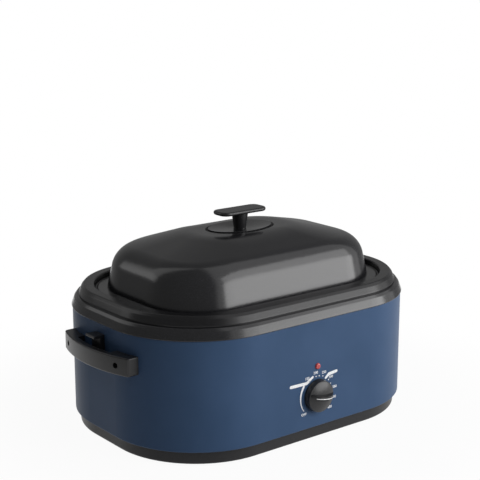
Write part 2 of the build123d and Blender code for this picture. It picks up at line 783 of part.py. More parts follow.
def lid_handle():
    stem = Pos(0, 0, stem_low) * Cone(stem_foot / 2, stem_top / 2, stem_height, align=upright)
    plan = RectangleRounded(plate_length, plate_width, plate_corner)
    plate = Pos(0, 0, plate_low) * extrude(plan, plate_thickness)
    faces = plate.faces().sort_by(Axis.Z)
    plate = fillet(faces[-1].edges() + faces[0].edges(), plate_edge)
    bore = Cylinder(lid_screw / 2 + lie_gap, lid_screw_depth, align=upright)
    return stem + plate - Pos(0, 0, stem_low) * bore


def lid_washer():
    washer = Cylinder(washer_diameter / 2, washer_gauge, align=(Align.CENTER, Align.CENTER, Align.MAX))
    washer -= Cylinder(lid_screw / 2 + hole_gap, 4 * washer_gauge)
    return Pos(0, 0, dish_floor - lid_gauge) * washer


def lid_handle_screw():
    seat = dish_floor - lid_gauge - washer_gauge
    tip = stem_low + lid_screw_depth - lid_screw / 5
    return turned(Plane.XY, [
        (0, tip), (lid_screw / 2, tip), (lid_screw / 2, seat), (lid_screw, seat),
        (lid_screw, seat - lid_screw / 3), (lid_screw * 0.7, seat - lid_screw * 0.6),
        (0, seat - lid_screw * 0.6),
    ])


# ------------------------------------------------------------------ write every node
save(outer_shell(), "outer_shell")
save(top_rim(), "top_rim")
save(well(), "well")
save(heater_band(), "heater_band")
save(heater_clamp_bolt(), "heater_clamp_bolt")
save(insulation_blanket(), "insulation_blanket")
save(heat_shield(), "heat_shield")
save(base_tray(), "base_tray")
for corner_name, place in corners(foot_spacing_x, foot_spacing_y).items():
    save(foot(*place), f"foot_{corner_name}")
tie_places = corners(tie_spacing_x, tie_spacing_y).values()
save(Compound([tie_bolt(*place) for place in tie_places]), "tie_bolts")
save(Compound([tie_hex_nut(*place) for place in tie_places]), "tie_nuts")
for side_name, shape in both_ends(bow_handle()).items():
    save(shape, f"handle_{side_name}")
save(Compound([handle_screw_at(*place) for place in handle_screw_places]), "handle_screws")
save(Compound([handle_nut_at(*place) for place in handle_screw_places]), "handle_nuts")
for side_name, shape in both_ends(lid_hook()).items():
    save(shape, f"lid_hook_{side_name}")
save(Compound([rivet_at(*place) for place in rivet_places]), "lid_hook_rivets")
save(control_knob(), "control_knob")
save(thermostat_shaft(), "thermostat_shaft")
save(knob_clip(), "knob_clip")
save(thermostat_body(), "thermostat_body")
save(thermostat_nut(), "thermostat_nut")
save(thermostat_bulb(), "thermostat_bulb")
save(thermostat_capillary(), "thermostat_capillary")
save(indicator_lens(), "indicator_lens")
save(lamp_holder(), "lamp_holder")
save(cord_gland(), "cord_gland")
save(gland_nut(), "gland_nut")
save(terminal_block(), "terminal_block")
save(roasting_pan(), "roasting_pan")
save(rack_frame(), "rack_frame")
save(rack_cross_wires(), "rack_cross_wires")
for side_name, shape in both_ends(rack_loop()).items():
    save(shape, f"rack_handle_{side_name}")
save(lid_shell(), "lid_shell")
save(lid_saucer(), "lid_escutcheon")
save(lid_handle(), "lid_handle")
save(lid_washer(), "lid_handle_washer")
save(lid_handle_screw(), "lid_handle_screw")
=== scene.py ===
from math import cos, pi, radians, sin, sqrt

import bmesh
import bpy
from mathutils import Matrix, Vector


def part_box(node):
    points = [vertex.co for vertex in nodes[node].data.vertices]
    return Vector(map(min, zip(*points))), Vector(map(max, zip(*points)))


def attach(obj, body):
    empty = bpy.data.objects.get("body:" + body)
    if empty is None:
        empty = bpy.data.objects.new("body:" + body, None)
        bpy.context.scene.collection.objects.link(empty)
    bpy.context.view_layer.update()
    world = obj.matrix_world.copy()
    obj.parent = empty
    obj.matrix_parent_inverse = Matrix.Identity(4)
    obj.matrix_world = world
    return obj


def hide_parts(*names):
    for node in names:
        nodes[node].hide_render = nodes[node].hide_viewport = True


# %% [markdown]
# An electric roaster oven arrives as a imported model: every piece has its real size and sits
# where it belongs, in metres. We load it first and keep its box, because nothing that is added
# later may make the object bigger. The model has five bodies that move on their own: the base,
# the dial, the pan, the wire rack and the lid.

# %% Load the frame
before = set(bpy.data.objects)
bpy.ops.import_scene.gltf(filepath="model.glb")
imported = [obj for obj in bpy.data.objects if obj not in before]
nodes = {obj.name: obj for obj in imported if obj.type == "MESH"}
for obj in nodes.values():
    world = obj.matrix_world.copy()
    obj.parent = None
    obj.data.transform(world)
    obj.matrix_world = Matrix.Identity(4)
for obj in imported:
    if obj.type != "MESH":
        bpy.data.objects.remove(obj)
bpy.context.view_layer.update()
MM = 0.001
print("nodes:", len(nodes))

# %% [markdown]
# A product picture has one camera, a plain floor and soft lamps. The camera stands about two
# metres away, three quarters of a metre above the table, and looks down a little. A long lens
# keeps the perspective gentle, as a catalogue does. The Standard view keeps colours as they
# are written. Everything that we add is an object with some data in it, a camera, a lamp or a
# mesh, so one function puts such an object in the scene.

# %% Camera
def place(name, data):
    """Puts an object with this data in the scene."""
    thing = bpy.data.objects.new(name, data)
    bpy.context.scene.collection.objects.link(thing)
    return thing


camera_place = Vector((-1.190, -1.501, 0.744))
camera_pitch = radians(13.29)
camera_heading = radians(-38.28)
camera_data = bpy.data.cameras.new("catalogue_camera")
camera_data.lens = 89.9
camera_data.sensor_width = 36.0
camera = place("catalogue_camera", camera_data)
camera.location = camera_place
camera.rotation_euler = (pi / 2 - camera_pitch, 0.0, camera_heading)
bpy.context.scene.camera = camera
bpy.context.scene.view_settings.view_transform = "Standard"
print("camera distance:", round(camera_place.length, 2), "m")

# %% [markdown]
# Colours are picked as sRGB hex values, the way a paint maker writes them. Blender's shaders
# work in linear light, so one function turns them over. A second function adds one shader node
# with its settings and its links, so that each recipe below reads from top to bottom.

# %% Colour and node helpers
def linear(hex_colour):
    """Linear RGBA of an sRGB hex colour such as "#3C5072"."""
    channels = [int(hex_colour[i:i + 2], 16) / 255 for i in (1, 3, 5)]
    return tuple(c / 12.92 if c <= 0.04045 else ((c + 0.055) / 1.055) ** 2.4 for c in channels) + (1.0,)


def add(owner, kind, settings=None, stops=(), **inputs):
    """One node with its settings, the stops of its colour ramp if it has one, and its links.
    An input is called by its name, with _ for a space, or by _ and its number. It takes a
    value, a socket, or a node, which stands for its first output."""
    node = owner.node_tree.nodes.new(kind)
    for name, value in (settings or {}).items():
        setattr(node, name, value)
    for number, (position, hex_colour) in enumerate(stops):
        node.color_ramp.elements[number].position = position
        node.color_ramp.elements[number].color = linear(hex_colour)
    for name, value in inputs.items():
        socket = node.inputs[int(name[1:]) if name[0] == "_" else name.replace("_", " ")]
        if isinstance(value, bpy.types.Node):
            value = value.outputs[0]
        if isinstance(value, bpy.types.NodeSocket):
            owner.node_tree.links.new(value, socket)
        else:
            socket.default_value = value
    return node


print("middle grey is", round(linear("#808080")[0], 3), "in linear light")

# %% [markdown]
# The far background is plain white, as on a cut-out product page. The world shows white to the
# camera, in reflections and through clear pieces, and a dim grey to everything else, so that
# white surroundings don't wash the paint out.

# %% White studio
WORLD_FILL = 0.12
world = bpy.data.worlds.new("white_studio")
bpy.context.scene.world = world
world.use_nodes = True
world.node_tree.nodes.clear()


def seen_directly(owner):
    """1 for camera, glossy and transmission rays, 0 for the light that lands on surfaces."""
    rays = add(owner, "ShaderNodeLightPath").outputs
    either = add(owner, "ShaderNodeMath", {"operation": "MAXIMUM"},
                 _0=rays["Is Camera Ray"], _1=rays["Is Glossy Ray"])
    return add(owner, "ShaderNodeMath", {"operation": "MAXIMUM"}, _0=either, _1=rays["Is Transmission Ray"])


fill = add(world, "ShaderNodeBackground", Color=linear("#FFFFFF"), Strength=WORLD_FILL)
white = add(world, "ShaderNodeBackground", Color=linear("#FFFFFF"), Strength=1.0)
both_worlds = add(world, "ShaderNodeMixShader", _0=seen_directly(world), _1=fill, _2=white)
add(world, "ShaderNodeOutputWorld", Surface=both_worlds)
print("light from the world on surfaces:", WORLD_FILL)

# %% [markdown]
# The floor is matt white paper. Near the feet, where the shadow has to land, a little of the
# paper itself shows; further out it fades to the same pure white as the background, so that
# there is no horizon. The fade follows the distance from the middle of the oven. A material
# starts here without any nodes, so that its recipe shows all of them.

# %% Paper floor
def new_material(name):
    """A material without any nodes."""
    material = bpy.data.materials.new(name)
    material.use_nodes = True
    material.node_tree.nodes.clear()
    return material


FLOOR_HALF = 9.0
SHADOW_START, SHADOW_END = 0.30, 0.66
GLOW_UNDER_OBJECT = 0.95
paper = new_material("matt_white_paper")
paper_colour = add(paper, "ShaderNodeBsdfDiffuse", Color=linear("#F4F4F4"))
glow = add(paper, "ShaderNodeEmission", Color=linear("#FFFFFF"), Strength=1.0)
floor_point = add(paper, "ShaderNodeNewGeometry")
distance = add(paper, "ShaderNodeVectorMath", {"operation": "LENGTH"}, _0=floor_point)
fade = add(paper, "ShaderNodeMapRange", {"interpolation_type": "SMOOTHSTEP"},
           Value=distance.outputs["Value"], From_Min=SHADOW_START, From_Max=SHADOW_END,
           To_Min=GLOW_UNDER_OBJECT, To_Max=1.0)
whiten = add(paper, "ShaderNodeMath", {"operation": "MULTIPLY"}, _0=fade, _1=seen_directly(paper))
paper_mix = add(paper, "ShaderNodeMixShader", _0=whiten, _1=paper_colour, _2=glow)
add(paper, "ShaderNodeOutputMaterial", Surface=paper_mix)

floor_mesh = bpy.data.meshes.new("floor")
floor_corners = [(-FLOOR_HALF, -FLOOR_HALF, 0), (FLOOR_HALF, -FLOOR_HALF, 0),
                 (FLOOR_HALF, FLOOR_HALF, 0), (-FLOOR_HALF, FLOOR_HALF, 0)]
floor_mesh.from_pydata(floor_corners, [], [(0, 1, 2, 3)])
floor_mesh.materials.append(paper)
floor = place("floor", floor_mesh)
print("floor:", 2 * FLOOR_HALF, "m square")

# %% [markdown]
# Black enamel shows mostly what it mirrors, so the lamps are large soft boxes. The key light
# stands in front and to the right, and it makes the long front the bright side. It is split
# into three boxes at three heights. The low and the middle one are mirrored in the enamel as
# long sheens. The high one only fills in: reflections don't show it, because they would blow
# out the lid's roof. A faint box behind the left end sets that end off. The corner that points
# at the camera lies between them and stays dark, which shows how round it is.

# %% Soft boxes
OVEN_MIDDLE = Vector((0.0, 0.0, 0.18))


def soft_box(name, spot, width, height, watts):
    """A rectangular lamp at a spot, facing the middle of the oven."""
    data = bpy.data.lights.new(name, "AREA")
    data.shape = "RECTANGLE"
    data.size, data.size_y = width, height
    data.energy = watts
    lamp = place(name, data)
    lamp.location = spot
    lamp.rotation_euler = (OVEN_MIDDLE - Vector(spot)).to_track_quat("-Z", "Y").to_euler()
    return lamp


soft_box("key_low", (1.40, -1.85, 0.44), width=2.1, height=0.80, watts=22)
soft_box("key_middle", (1.40, -1.85, 1.38), width=2.1, height=1.0, watts=14)
key_high = soft_box("key_high", (0.35, -2.15, 1.75), width=1.6, height=1.0, watts=19)
key_high.visible_glossy = False
soft_box("edge_left", (-1.55, 1.55, 0.90), width=0.8, height=0.65, watts=0.7)

# %% [markdown]
# Dark cards complete the studio. Enamel that is seen at a low angle mirrors whatever is
# behind it, and a white room there would turn the lid grey. Two tall curved cards of dark grey
# cloth, one behind the oven and one between it and the camera, keep it black. A low card at
# the left stands nearer, for the body and its handle. It leaves the light above it free, which
# gives the lid's left side its sheen. The cards glow at a quarter of white, so that the lamps
# don't change them. Only reflections see them: they cast no shadow, and the camera looks
# through them.

# %% Grey cards
CARD_RADIUS, CARD_LOW, CARD_HIGH, CARD_STEP_DEGREES = 1.3, 0.01, 2.0, 6
LOW_CARD_RADIUS, LOW_CARD_HIGH = 0.72, 0.34
CARD_GLOW = 0.26
card_cloth = new_material("dark_grey_cloth")
cloth = add(card_cloth, "ShaderNodeEmission", Color=linear("#FFFFFF"), Strength=CARD_GLOW)
add(card_cloth, "ShaderNodeOutputMaterial", Surface=cloth)


def grey_card(name, start, end, high=CARD_HIGH, radius=CARD_RADIUS):
    """A card bent round the oven, between two angles. A tall one has a flat roof to the middle."""
    angles = [radians(a) for a in range(start, end + 1, CARD_STEP_DEGREES)]
    count = len(angles)
    points = [(radius * cos(a), radius * sin(a), z) for z in (CARD_LOW, high) for a in angles]
    faces = [(k, k + 1, k + 1 + count, k + count) for k in range(count - 1)]
    if high == CARD_HIGH:
        points.append((0.0, 0.0, high))
        faces += [(k + count, k + 1 + count, len(points) - 1) for k in range(count - 1)]
    mesh = bpy.data.meshes.new(name)
    mesh.from_pydata(points, [], faces)
    mesh.materials.append(card_cloth)
    card = place(name, mesh)
    card.visible_camera = False
    card.visible_diffuse = False
    card.visible_shadow = False
    card.visible_transmission = False
    print(name, "from", start, "to", end, "degrees")


grey_card("grey_card_behind", -10, 122)
grey_card("grey_card_low_left", 110, 194, high=LOW_CARD_HIGH, radius=LOW_CARD_RADIUS)
grey_card("grey_card_camera_side", 150, 264)

# %% [markdown]
# The body is drawn sheet steel with powder coat: a paint that is sprayed on dry and melts in
# an oven. It flows into a film with very shallow waves about two millimetres apart, which
# painters call orange peel. The eye sees them as a slight shimmer in the highlights, so they
# go into the bump. Colour and gloss drift a little over a hand's width. The specular level is
# turned down, because a white studio mirrors far more than a kitchen and would fade the blue.
# A pattern's scale says how many of its features fit in a metre, so a small function works it
# out from their real size.

# %% Navy powder coat
def per_metre(size_mm):
    """Scale of a pattern whose features are this many millimetres apart."""
    return 1000.0 / size_mm


ORANGE_PEEL_MM, DRIFT_MM, PEEL_DEPTH_MM = 2.2, 90.0, 0.012
powder_coat = new_material("navy_powder_coat")
here = add(powder_coat, "ShaderNodeTexCoord").outputs["Object"]
peel = add(powder_coat, "ShaderNodeTexNoise", Vector=here, Scale=per_metre(ORANGE_PEEL_MM), Detail=1.5)
drift = add(powder_coat, "ShaderNodeTexNoise", Vector=here, Scale=per_metre(DRIFT_MM), Detail=3.0)
navy = add(powder_coat, "ShaderNodeValToRGB", stops=((0.35, "#39506F"), (0.65, "#3E5575")), Fac=drift)
gloss = add(powder_coat, "ShaderNodeMapRange", Value=peel, To_Min=0.36, To_Max=0.48)
waves = add(powder_coat, "ShaderNodeBump", Height=peel, Strength=0.6, Distance=PEEL_DEPTH_MM * MM)
coat = add(powder_coat, "ShaderNodeBsdfPrincipled", Base_Color=navy, Roughness=gloss, Normal=waves,
           IOR=1.5, Specular_IOR_Level=0.12)
add(powder_coat, "ShaderNodeOutputMaterial", Surface=coat)
print("orange peel:", ORANGE_PEEL_MM, "mm apart,", PEEL_DEPTH_MM, "mm deep")

# %% [markdown]
# The pan is steel with vitreous enamel: powdered glass that is fired on at 800 degrees. It is
# black all through, harder and a little wavier than paint, with tiny pinholes and flecks from
# the firing. Real flecks are a few tenths of a millimetre, too fine to show from two metres, so
# they are drawn at about one millimetre.

# %% Black vitreous enamel
FLECK_MM, FLOW_MM, FLOW_DEPTH_MM = 1.1, 12.0, 0.05
black_enamel = new_material("black_vitreous_enamel")
here = add(black_enamel, "ShaderNodeTexCoord").outputs["Object"]
flecks = add(black_enamel, "ShaderNodeTexVoronoi", {"feature": "F1"}, Vector=here, Scale=per_metre(FLECK_MM))
speck = add(black_enamel, "ShaderNodeValToRGB", stops=((0.10, "#3A3A3E"), (0.22, "#141416")), Fac=flecks)
flow = add(black_enamel, "ShaderNodeTexNoise", Vector=here, Scale=per_metre(FLOW_MM), Detail=2.0)
gloss = add(black_enamel, "ShaderNodeMapRange", Value=flow, To_Min=0.20, To_Max=0.30)
swell = add(black_enamel, "ShaderNodeBump", Height=flow, Strength=0.35, Distance=FLOW_DEPTH_MM * MM)
glaze = add(black_enamel, "ShaderNodeBsdfPrincipled", Base_Color=speck, Roughness=gloss, Normal=swell,
            IOR=1.52, Specular_IOR_Level=0.38)
add(black_enamel, "ShaderNodeOutputMaterial", Surface=glaze)
print("flecks:", FLECK_MM, "mm, waves of the glaze:", FLOW_MM, "mm")

# %% [markdown]
# The well under the pan is drawn steel, matt and a little mottled. Its dark grey is painted light:
# it is lighter than the pan's black enamel and stands in for the light that reaches into the
# hollow under the pan, which these lamps leave dark, so that the hollow still shows its depth
# when the pan is out. The mottling is a millimetre or so on the real one and is drawn at three,
# because it is dark in there.

# %% Lightened grey, painted light in the well
GRAIN_MM = 3.0
well_grey_painted_light = new_material("lightened_grey_painted_light")
here = add(well_grey_painted_light, "ShaderNodeTexCoord").outputs["Object"]
grain = add(well_grey_painted_light, "ShaderNodeTexNoise", Vector=here, Scale=per_metre(GRAIN_MM), Detail=2.0)
# Painted light: these greys are lighter than the well's black finish, standing in for the light in the hollow
# under the pan.
painted_light_grey = add(well_grey_painted_light, "ShaderNodeValToRGB", stops=((0.3, "#39393C"), (0.7, "#404043")), Fac=grain)
gloss = add(well_grey_painted_light, "ShaderNodeMapRange", Value=grain, To_Min=0.42, To_Max=0.55)
paint = add(well_grey_painted_light, "ShaderNodeBsdfPrincipled", Base_Color=painted_light_grey, Roughness=gloss,
            IOR=1.5, Specular_IOR_Level=0.35)
add(well_grey_painted_light, "ShaderNodeOutputMaterial", Surface=paint)
print("mottling of the paint:", GRAIN_MM, "mm")

# %% [markdown]
# The lid, its escutcheon and the rim have a satin black enamel. Deep drawing stretches the
# lid's sheet most around the shoulder, and the fired film follows with long shallow waves.
# They show where the soft box runs along the lid's side. A fine grain on top of them takes the
# shine down to satin; it is drawn at over a millimetre, because the real one is too fine to
# show.

# %% Satin black enamel
DRAW_MM, DRAW_DEPTH_MM = 60.0, 0.05
FIRED_MM, FIRED_DEPTH_MM = 1.4, 0.006
satin_enamel = new_material("satin_black_enamel")
here = add(satin_enamel, "ShaderNodeTexCoord").outputs["Object"]
stretch = add(satin_enamel, "ShaderNodeTexNoise", Vector=here, Scale=per_metre(DRAW_MM), Detail=1.0)
fired = add(satin_enamel, "ShaderNodeTexNoise", Vector=here, Scale=per_metre(FIRED_MM), Detail=2.0)
tone = add(satin_enamel, "ShaderNodeValToRGB", stops=((0.30, "#1A1A1C"), (0.70, "#232326")), Fac=fired)
gloss = add(satin_enamel, "ShaderNodeMapRange", Value=fired, To_Min=0.15, To_Max=0.24)
pressed = add(satin_enamel, "ShaderNodeBump", Height=stretch, Strength=0.25, Distance=DRAW_DEPTH_MM * MM)
skin = add(satin_enamel, "ShaderNodeBump", Height=fired, Strength=0.4, Distance=FIRED_DEPTH_MM * MM,
           Normal=pressed)
satin = add(satin_enamel, "ShaderNodeBsdfPrincipled", Base_Color=tone, Roughness=gloss, Normal=skin,
            IOR=1.52, Specular_IOR_Level=0.52)
add(satin_enamel, "ShaderNodeOutputMaterial", Surface=satin)
print("waves of the sheet:", DRAW_MM, "mm, grain of the film:", FIRED_MM, "mm")

# %% [markdown]
# Handles, hooks and dial are phenolic, the hard brittle plastic of cookware handles. It is
# pressed hot into a steel mould whose walls were eroded by sparks, which leaves a fine even
# grain. The filler in it, ground wood, shows as faint specks where the skin is worn. Both are
# a few tenths of a millimetre on the real ones, too fine to show, and are drawn coarser.

# %% Moulded phenolic
SPARK_MM, FILLER_MM, SPARK_DEPTH_MM = 0.9, 2.6, 0.02
phenolic = new_material("moulded_phenolic")
here = add(phenolic, "ShaderNodeTexCoord").outputs["Object"]
sparks = add(phenolic, "ShaderNodeTexNoise", Vector=here, Scale=per_metre(SPARK_MM), Detail=2.0)
filler = add(phenolic, "ShaderNodeTexVoronoi", {"feature": "F1"}, Vector=here, Scale=per_metre(FILLER_MM))
specks = add(phenolic, "ShaderNodeValToRGB", stops=((0.06, "#2E2D2D"), (0.30, "#1C1C1E")), Fac=filler)
gloss = add(phenolic, "ShaderNodeMapRange", Value=sparks, To_Min=0.24, To_Max=0.36)
grip = add(phenolic, "ShaderNodeBump", Height=sparks, Strength=0.5, Distance=SPARK_DEPTH_MM * MM)
resin = add(phenolic, "ShaderNodeBsdfPrincipled", Base_Color=specks, Roughness=gloss, Normal=grip,
            IOR=1.6, Specular_IOR_Level=0.32)
add(phenolic, "ShaderNodeOutputMaterial", Surface=resin)
print("spark grain:", SPARK_MM, "mm, filler:", FILLER_MM, "mm")

# %% [markdown]
# The bottom tray and the cord gland are polypropylene, a softer and waxier plastic, moulded
# with a coarser leather-like grain and much less shine. The grain is a field of round pebbles,
# so the distance to the nearest one is turned upside down before it goes into the bump. They
# are drawn at about twice their real size.

# %% Moulded polypropylene
PEBBLE_MM, PEBBLE_DEPTH_MM = 1.6, 0.03
polypropylene = new_material("moulded_polypropylene")
here = add(polypropylene, "ShaderNodeTexCoord").outputs["Object"]
pebbles = add(polypropylene, "ShaderNodeTexVoronoi", {"feature": "SMOOTH_F1"}, Vector=here,
              Scale=per_metre(PEBBLE_MM))
tint = add(polypropylene, "ShaderNodeValToRGB", stops=((0.0, "#29292B"), (1.0, "#1F1F21")), Fac=pebbles)
gloss = add(polypropylene, "ShaderNodeMapRange", Value=pebbles, To_Min=0.34, To_Max=0.48)
leather = add(polypropylene, "ShaderNodeBump", {"invert": True}, Height=pebbles, Strength=0.4,
              Distance=PEBBLE_DEPTH_MM * MM)
wax = add(polypropylene, "ShaderNodeBsdfPrincipled", Base_Color=tint, Roughness=gloss, Normal=leather,
          IOR=1.49, Specular_IOR_Level=0.25)
add(polypropylene, "ShaderNodeOutputMaterial", Surface=wax)
print("pebbles:", PEBBLE_MM, "mm apart,", PEBBLE_DEPTH_MM, "mm high")

# %% [markdown]
# The feet are nitrile rubber: nearly black, no shine, with a bloom of grey dust in the pores.
# The pores are pin pricks, too fine to show, and are drawn a millimetre apart.

# %% Moulded nitrile rubber
PORE_MM, PORE_DEPTH_MM = 1.2, 0.05
nitrile_rubber = new_material("moulded_nitrile_rubber")
here = add(nitrile_rubber, "ShaderNodeTexCoord").outputs["Object"]
pores = add(nitrile_rubber, "ShaderNodeTexNoise", Vector=here, Scale=per_metre(PORE_MM), Detail=4.0)
bloom = add(nitrile_rubber, "ShaderNodeValToRGB", stops=((0.35, "#161616"), (0.75, "#2C2C2B")), Fac=pores)
gloss = add(nitrile_rubber, "ShaderNodeMapRange", Value=pores, To_Min=0.74, To_Max=0.90)
pitted = add(nitrile_rubber, "ShaderNodeBump", Height=pores, Strength=0.5, Distance=PORE_DEPTH_MM * MM)
rubber = add(nitrile_rubber, "ShaderNodeBsdfPrincipled", Base_Color=bloom, Roughness=gloss, Normal=pitted,
             IOR=1.52, Specular_IOR_Level=0.2)
add(nitrile_rubber, "ShaderNodeOutputMaterial", Surface=rubber)
print("pores:", PORE_MM, "mm apart")

# %% [markdown]
# The rack is drawn steel wire with chrome. Chrome is nearly colourless and very smooth, but the
# wire under it keeps fine drawing marks, so its gloss varies a little along the wire. The
# marks are as thin as hairs and are drawn over a millimetre apart, or they wouldn't show.

# %% Chromed wire
MARK_MM, MARK_DEPTH_MM = 1.5, 0.01
chromed_wire = new_material("chromed_drawn_wire")
here = add(chromed_wire, "ShaderNodeTexCoord").outputs["Object"]
marks = add(chromed_wire, "ShaderNodeTexNoise", Vector=here, Scale=per_metre(MARK_MM), Detail=3.0)
plating = add(chromed_wire, "ShaderNodeValToRGB", stops=((0.3, "#B9BBBE"), (0.7, "#CFD0D2")), Fac=marks)
gloss = add(chromed_wire, "ShaderNodeMapRange", Value=marks, To_Min=0.10, To_Max=0.24)
drawn = add(chromed_wire, "ShaderNodeBump", Height=marks, Strength=0.3, Distance=MARK_DEPTH_MM * MM)
chrome = add(chromed_wire, "ShaderNodeBsdfPrincipled", Base_Color=plating, Roughness=gloss, Normal=drawn,
             Metallic=1.0)
add(chromed_wire, "ShaderNodeOutputMaterial", Surface=chrome)
print("drawing marks:", MARK_MM, "mm apart")

# %% [markdown]
# Screws, nuts, ties and the heat shield are steel with zinc on it. Zinc freezes in crystals a
# few millimetres across, called spangle, and each crystal reflects a little differently. On a
# small screw only one or two of them fit, so it reads as a dull blue-grey metal. The bath
# etches the surface as well, finer than a hair, which is drawn at under a millimetre.

# %% Zinc plated steel
SPANGLE_MM, ETCH_MM, ETCH_DEPTH_MM = 5.0, 0.7, 0.01
zinc_steel = new_material("zinc_plated_steel")
here = add(zinc_steel, "ShaderNodeTexCoord").outputs["Object"]
spangle = add(zinc_steel, "ShaderNodeTexVoronoi", {"feature": "F1"}, Vector=here,
              Scale=per_metre(SPANGLE_MM)).outputs["Color"]
crystal = add(zinc_steel, "ShaderNodeValToRGB", stops=((0.0, "#8E9399"), (1.0, "#B5BAC0")), Fac=spangle)
etch = add(zinc_steel, "ShaderNodeTexNoise", Vector=here, Scale=per_metre(ETCH_MM), Detail=2.0)
gloss = add(zinc_steel, "ShaderNodeMapRange", Value=spangle, To_Min=0.26, To_Max=0.44)
etched = add(zinc_steel, "ShaderNodeBump", Height=etch, Strength=0.4, Distance=ETCH_DEPTH_MM * MM)
zinc = add(zinc_steel, "ShaderNodeBsdfPrincipled", Base_Color=crystal, Roughness=gloss, Normal=etched,
           Metallic=1.0)
add(zinc_steel, "ShaderNodeOutputMaterial", Surface=zinc)
print("spangle:", SPANGLE_MM, "mm across")

# %% [markdown]
# Inside the body, out of sight, sit the heater band, the insulation, the thermostat with its
# copper feeler tube and the terminal block. They get their own finishes too, because the model
# can be taken apart. The band is mica between steel skins, silvery brown and flaky.

# %% Pressed mica
FLAKE_MM, FLAKE_DEPTH_MM = 6.0, 0.05
pressed_mica = new_material("pressed_mica")
here = add(pressed_mica, "ShaderNodeTexCoord").outputs["Object"]
flakes = add(pressed_mica, "ShaderNodeTexVoronoi", {"feature": "F1", "distance": "CHEBYCHEV"},
             Vector=here, Scale=per_metre(FLAKE_MM))
leaf = add(pressed_mica, "ShaderNodeValToRGB", stops=((0.0, "#77705F"), (1.0, "#A9A18C")),
           Fac=flakes.outputs["Color"])
gloss = add(pressed_mica, "ShaderNodeMapRange", Value=flakes, To_Min=0.22, To_Max=0.40)
edges = add(pressed_mica, "ShaderNodeBump", Height=flakes, Strength=0.4, Distance=FLAKE_DEPTH_MM * MM)
mica = add(pressed_mica, "ShaderNodeBsdfPrincipled", Base_Color=leaf, Roughness=gloss, Normal=edges,
           IOR=1.58, Specular_IOR_Level=0.6)
add(pressed_mica, "ShaderNodeOutputMaterial", Surface=mica)
print("flakes:", FLAKE_MM, "mm across")

# %% [markdown]
# Glass wool is a mat of spun glass threads, yellow from its binder. The threads are a hundredth
# of a millimetre thick; here they are drawn as streaks of about two millimetres, stretched
# along the mat, which is how a thumb-sized patch of it looks.

# %% Spun glass wool
STREAK_MM, STREAK_STRETCH, STREAK_DEPTH_MM = 2.0, 6.0, 0.6
glass_wool = new_material("spun_glass_wool")
here = add(glass_wool, "ShaderNodeTexCoord").outputs["Object"]
combed = add(glass_wool, "ShaderNodeMapping", Vector=here, Scale=(1.0, 1.0, STREAK_STRETCH))
threads = add(glass_wool, "ShaderNodeTexNoise", Vector=combed,
              Scale=per_metre(STREAK_MM * STREAK_STRETCH), Detail=8.0, Roughness=0.7)
binder = add(glass_wool, "ShaderNodeValToRGB", stops=((0.3, "#9C8A4E"), (0.7, "#DCCF9A")), Fac=threads)
gloss = add(glass_wool, "ShaderNodeMapRange", Value=threads, To_Min=0.80, To_Max=0.95)
tufts = add(glass_wool, "ShaderNodeBump", Height=threads, Strength=0.9, Distance=STREAK_DEPTH_MM * MM)
wool = add(glass_wool, "ShaderNodeBsdfPrincipled", Base_Color=binder, Roughness=gloss, Normal=tufts,
           IOR=1.5, Specular_IOR_Level=0.1, Sheen_Weight=0.3)
add(glass_wool, "ShaderNodeOutputMaterial", Surface=wool)
print("streaks:", STREAK_MM, "mm wide,", STREAK_MM * STREAK_STRETCH, "mm long")

# %% [markdown]
# The thermostat's case and the terminal block are steatite, a dense cream-white ceramic that is
# pressed dry and fired without a glaze, so it is matt with a fine grain. The grain is like
# flour and wouldn't show, so it is drawn at just under a millimetre.

# %% Fired steatite
CLAY_MM, CLAY_DEPTH_MM = 0.8, 0.02
steatite = new_material("fired_steatite")
here = add(steatite, "ShaderNodeTexCoord").outputs["Object"]
clay = add(steatite, "ShaderNodeTexNoise", Vector=here, Scale=per_metre(CLAY_MM), Detail=3.0)
cream = add(steatite, "ShaderNodeValToRGB", stops=((0.3, "#D5CDBB"), (0.7, "#E2DBCB")), Fac=clay)
gloss = add(steatite, "ShaderNodeMapRange", Value=clay, To_Min=0.52, To_Max=0.66)
grainy = add(steatite, "ShaderNodeBump", Height=clay, Strength=0.4, Distance=CLAY_DEPTH_MM * MM)
ceramic = add(steatite, "ShaderNodeBsdfPrincipled", Base_Color=cream, Roughness=gloss, Normal=grainy,
              IOR=1.56, Specular_IOR_Level=0.4)
add(steatite, "ShaderNodeOutputMaterial", Surface=ceramic)
print("grain of the clay:", CLAY_MM, "mm")

# %% [markdown]
# The thermostat feels the heat with a copper bulb on the well, joined to it by a thin copper
# tube. Copper is drawn bright and goes brown with warmth and air, in soft patches of a few
# millimetres. The patches change the colour and the gloss together.

# %% Drawn copper
TARNISH_MM, TARNISH_DEPTH_MM = 7.0, 0.01
drawn_copper = new_material("drawn_copper")
here = add(drawn_copper, "ShaderNodeTexCoord").outputs["Object"]
tarnish = add(drawn_copper, "ShaderNodeTexNoise", Vector=here, Scale=per_metre(TARNISH_MM), Detail=4.0)
brown = add(drawn_copper, "ShaderNodeValToRGB", stops=((0.35, "#8A5A3C"), (0.65, "#C98A66")), Fac=tarnish)
gloss = add(drawn_copper, "ShaderNodeMapRange", Value=tarnish, To_Min=0.25, To_Max=0.45)
dull = add(drawn_copper, "ShaderNodeBump", Height=tarnish, Strength=0.2, Distance=TARNISH_DEPTH_MM * MM)
copper = add(drawn_copper, "ShaderNodeBsdfPrincipled", Base_Color=brown, Roughness=gloss, Normal=dull,
             Metallic=1.0)
add(drawn_copper, "ShaderNodeOutputMaterial", Surface=copper)
print("patches of tarnish:", TARNISH_MM, "mm")

# %% [markdown]
# The pilot lamp's lens is red acrylic, moulded with small prisms on its inside that spread the
# neon's light. It looks milky red when it is off, so the colour sits in a soft body and a clear
# coat gives the shine. Prisms of half a millimetre are drawn one millimetre wide.

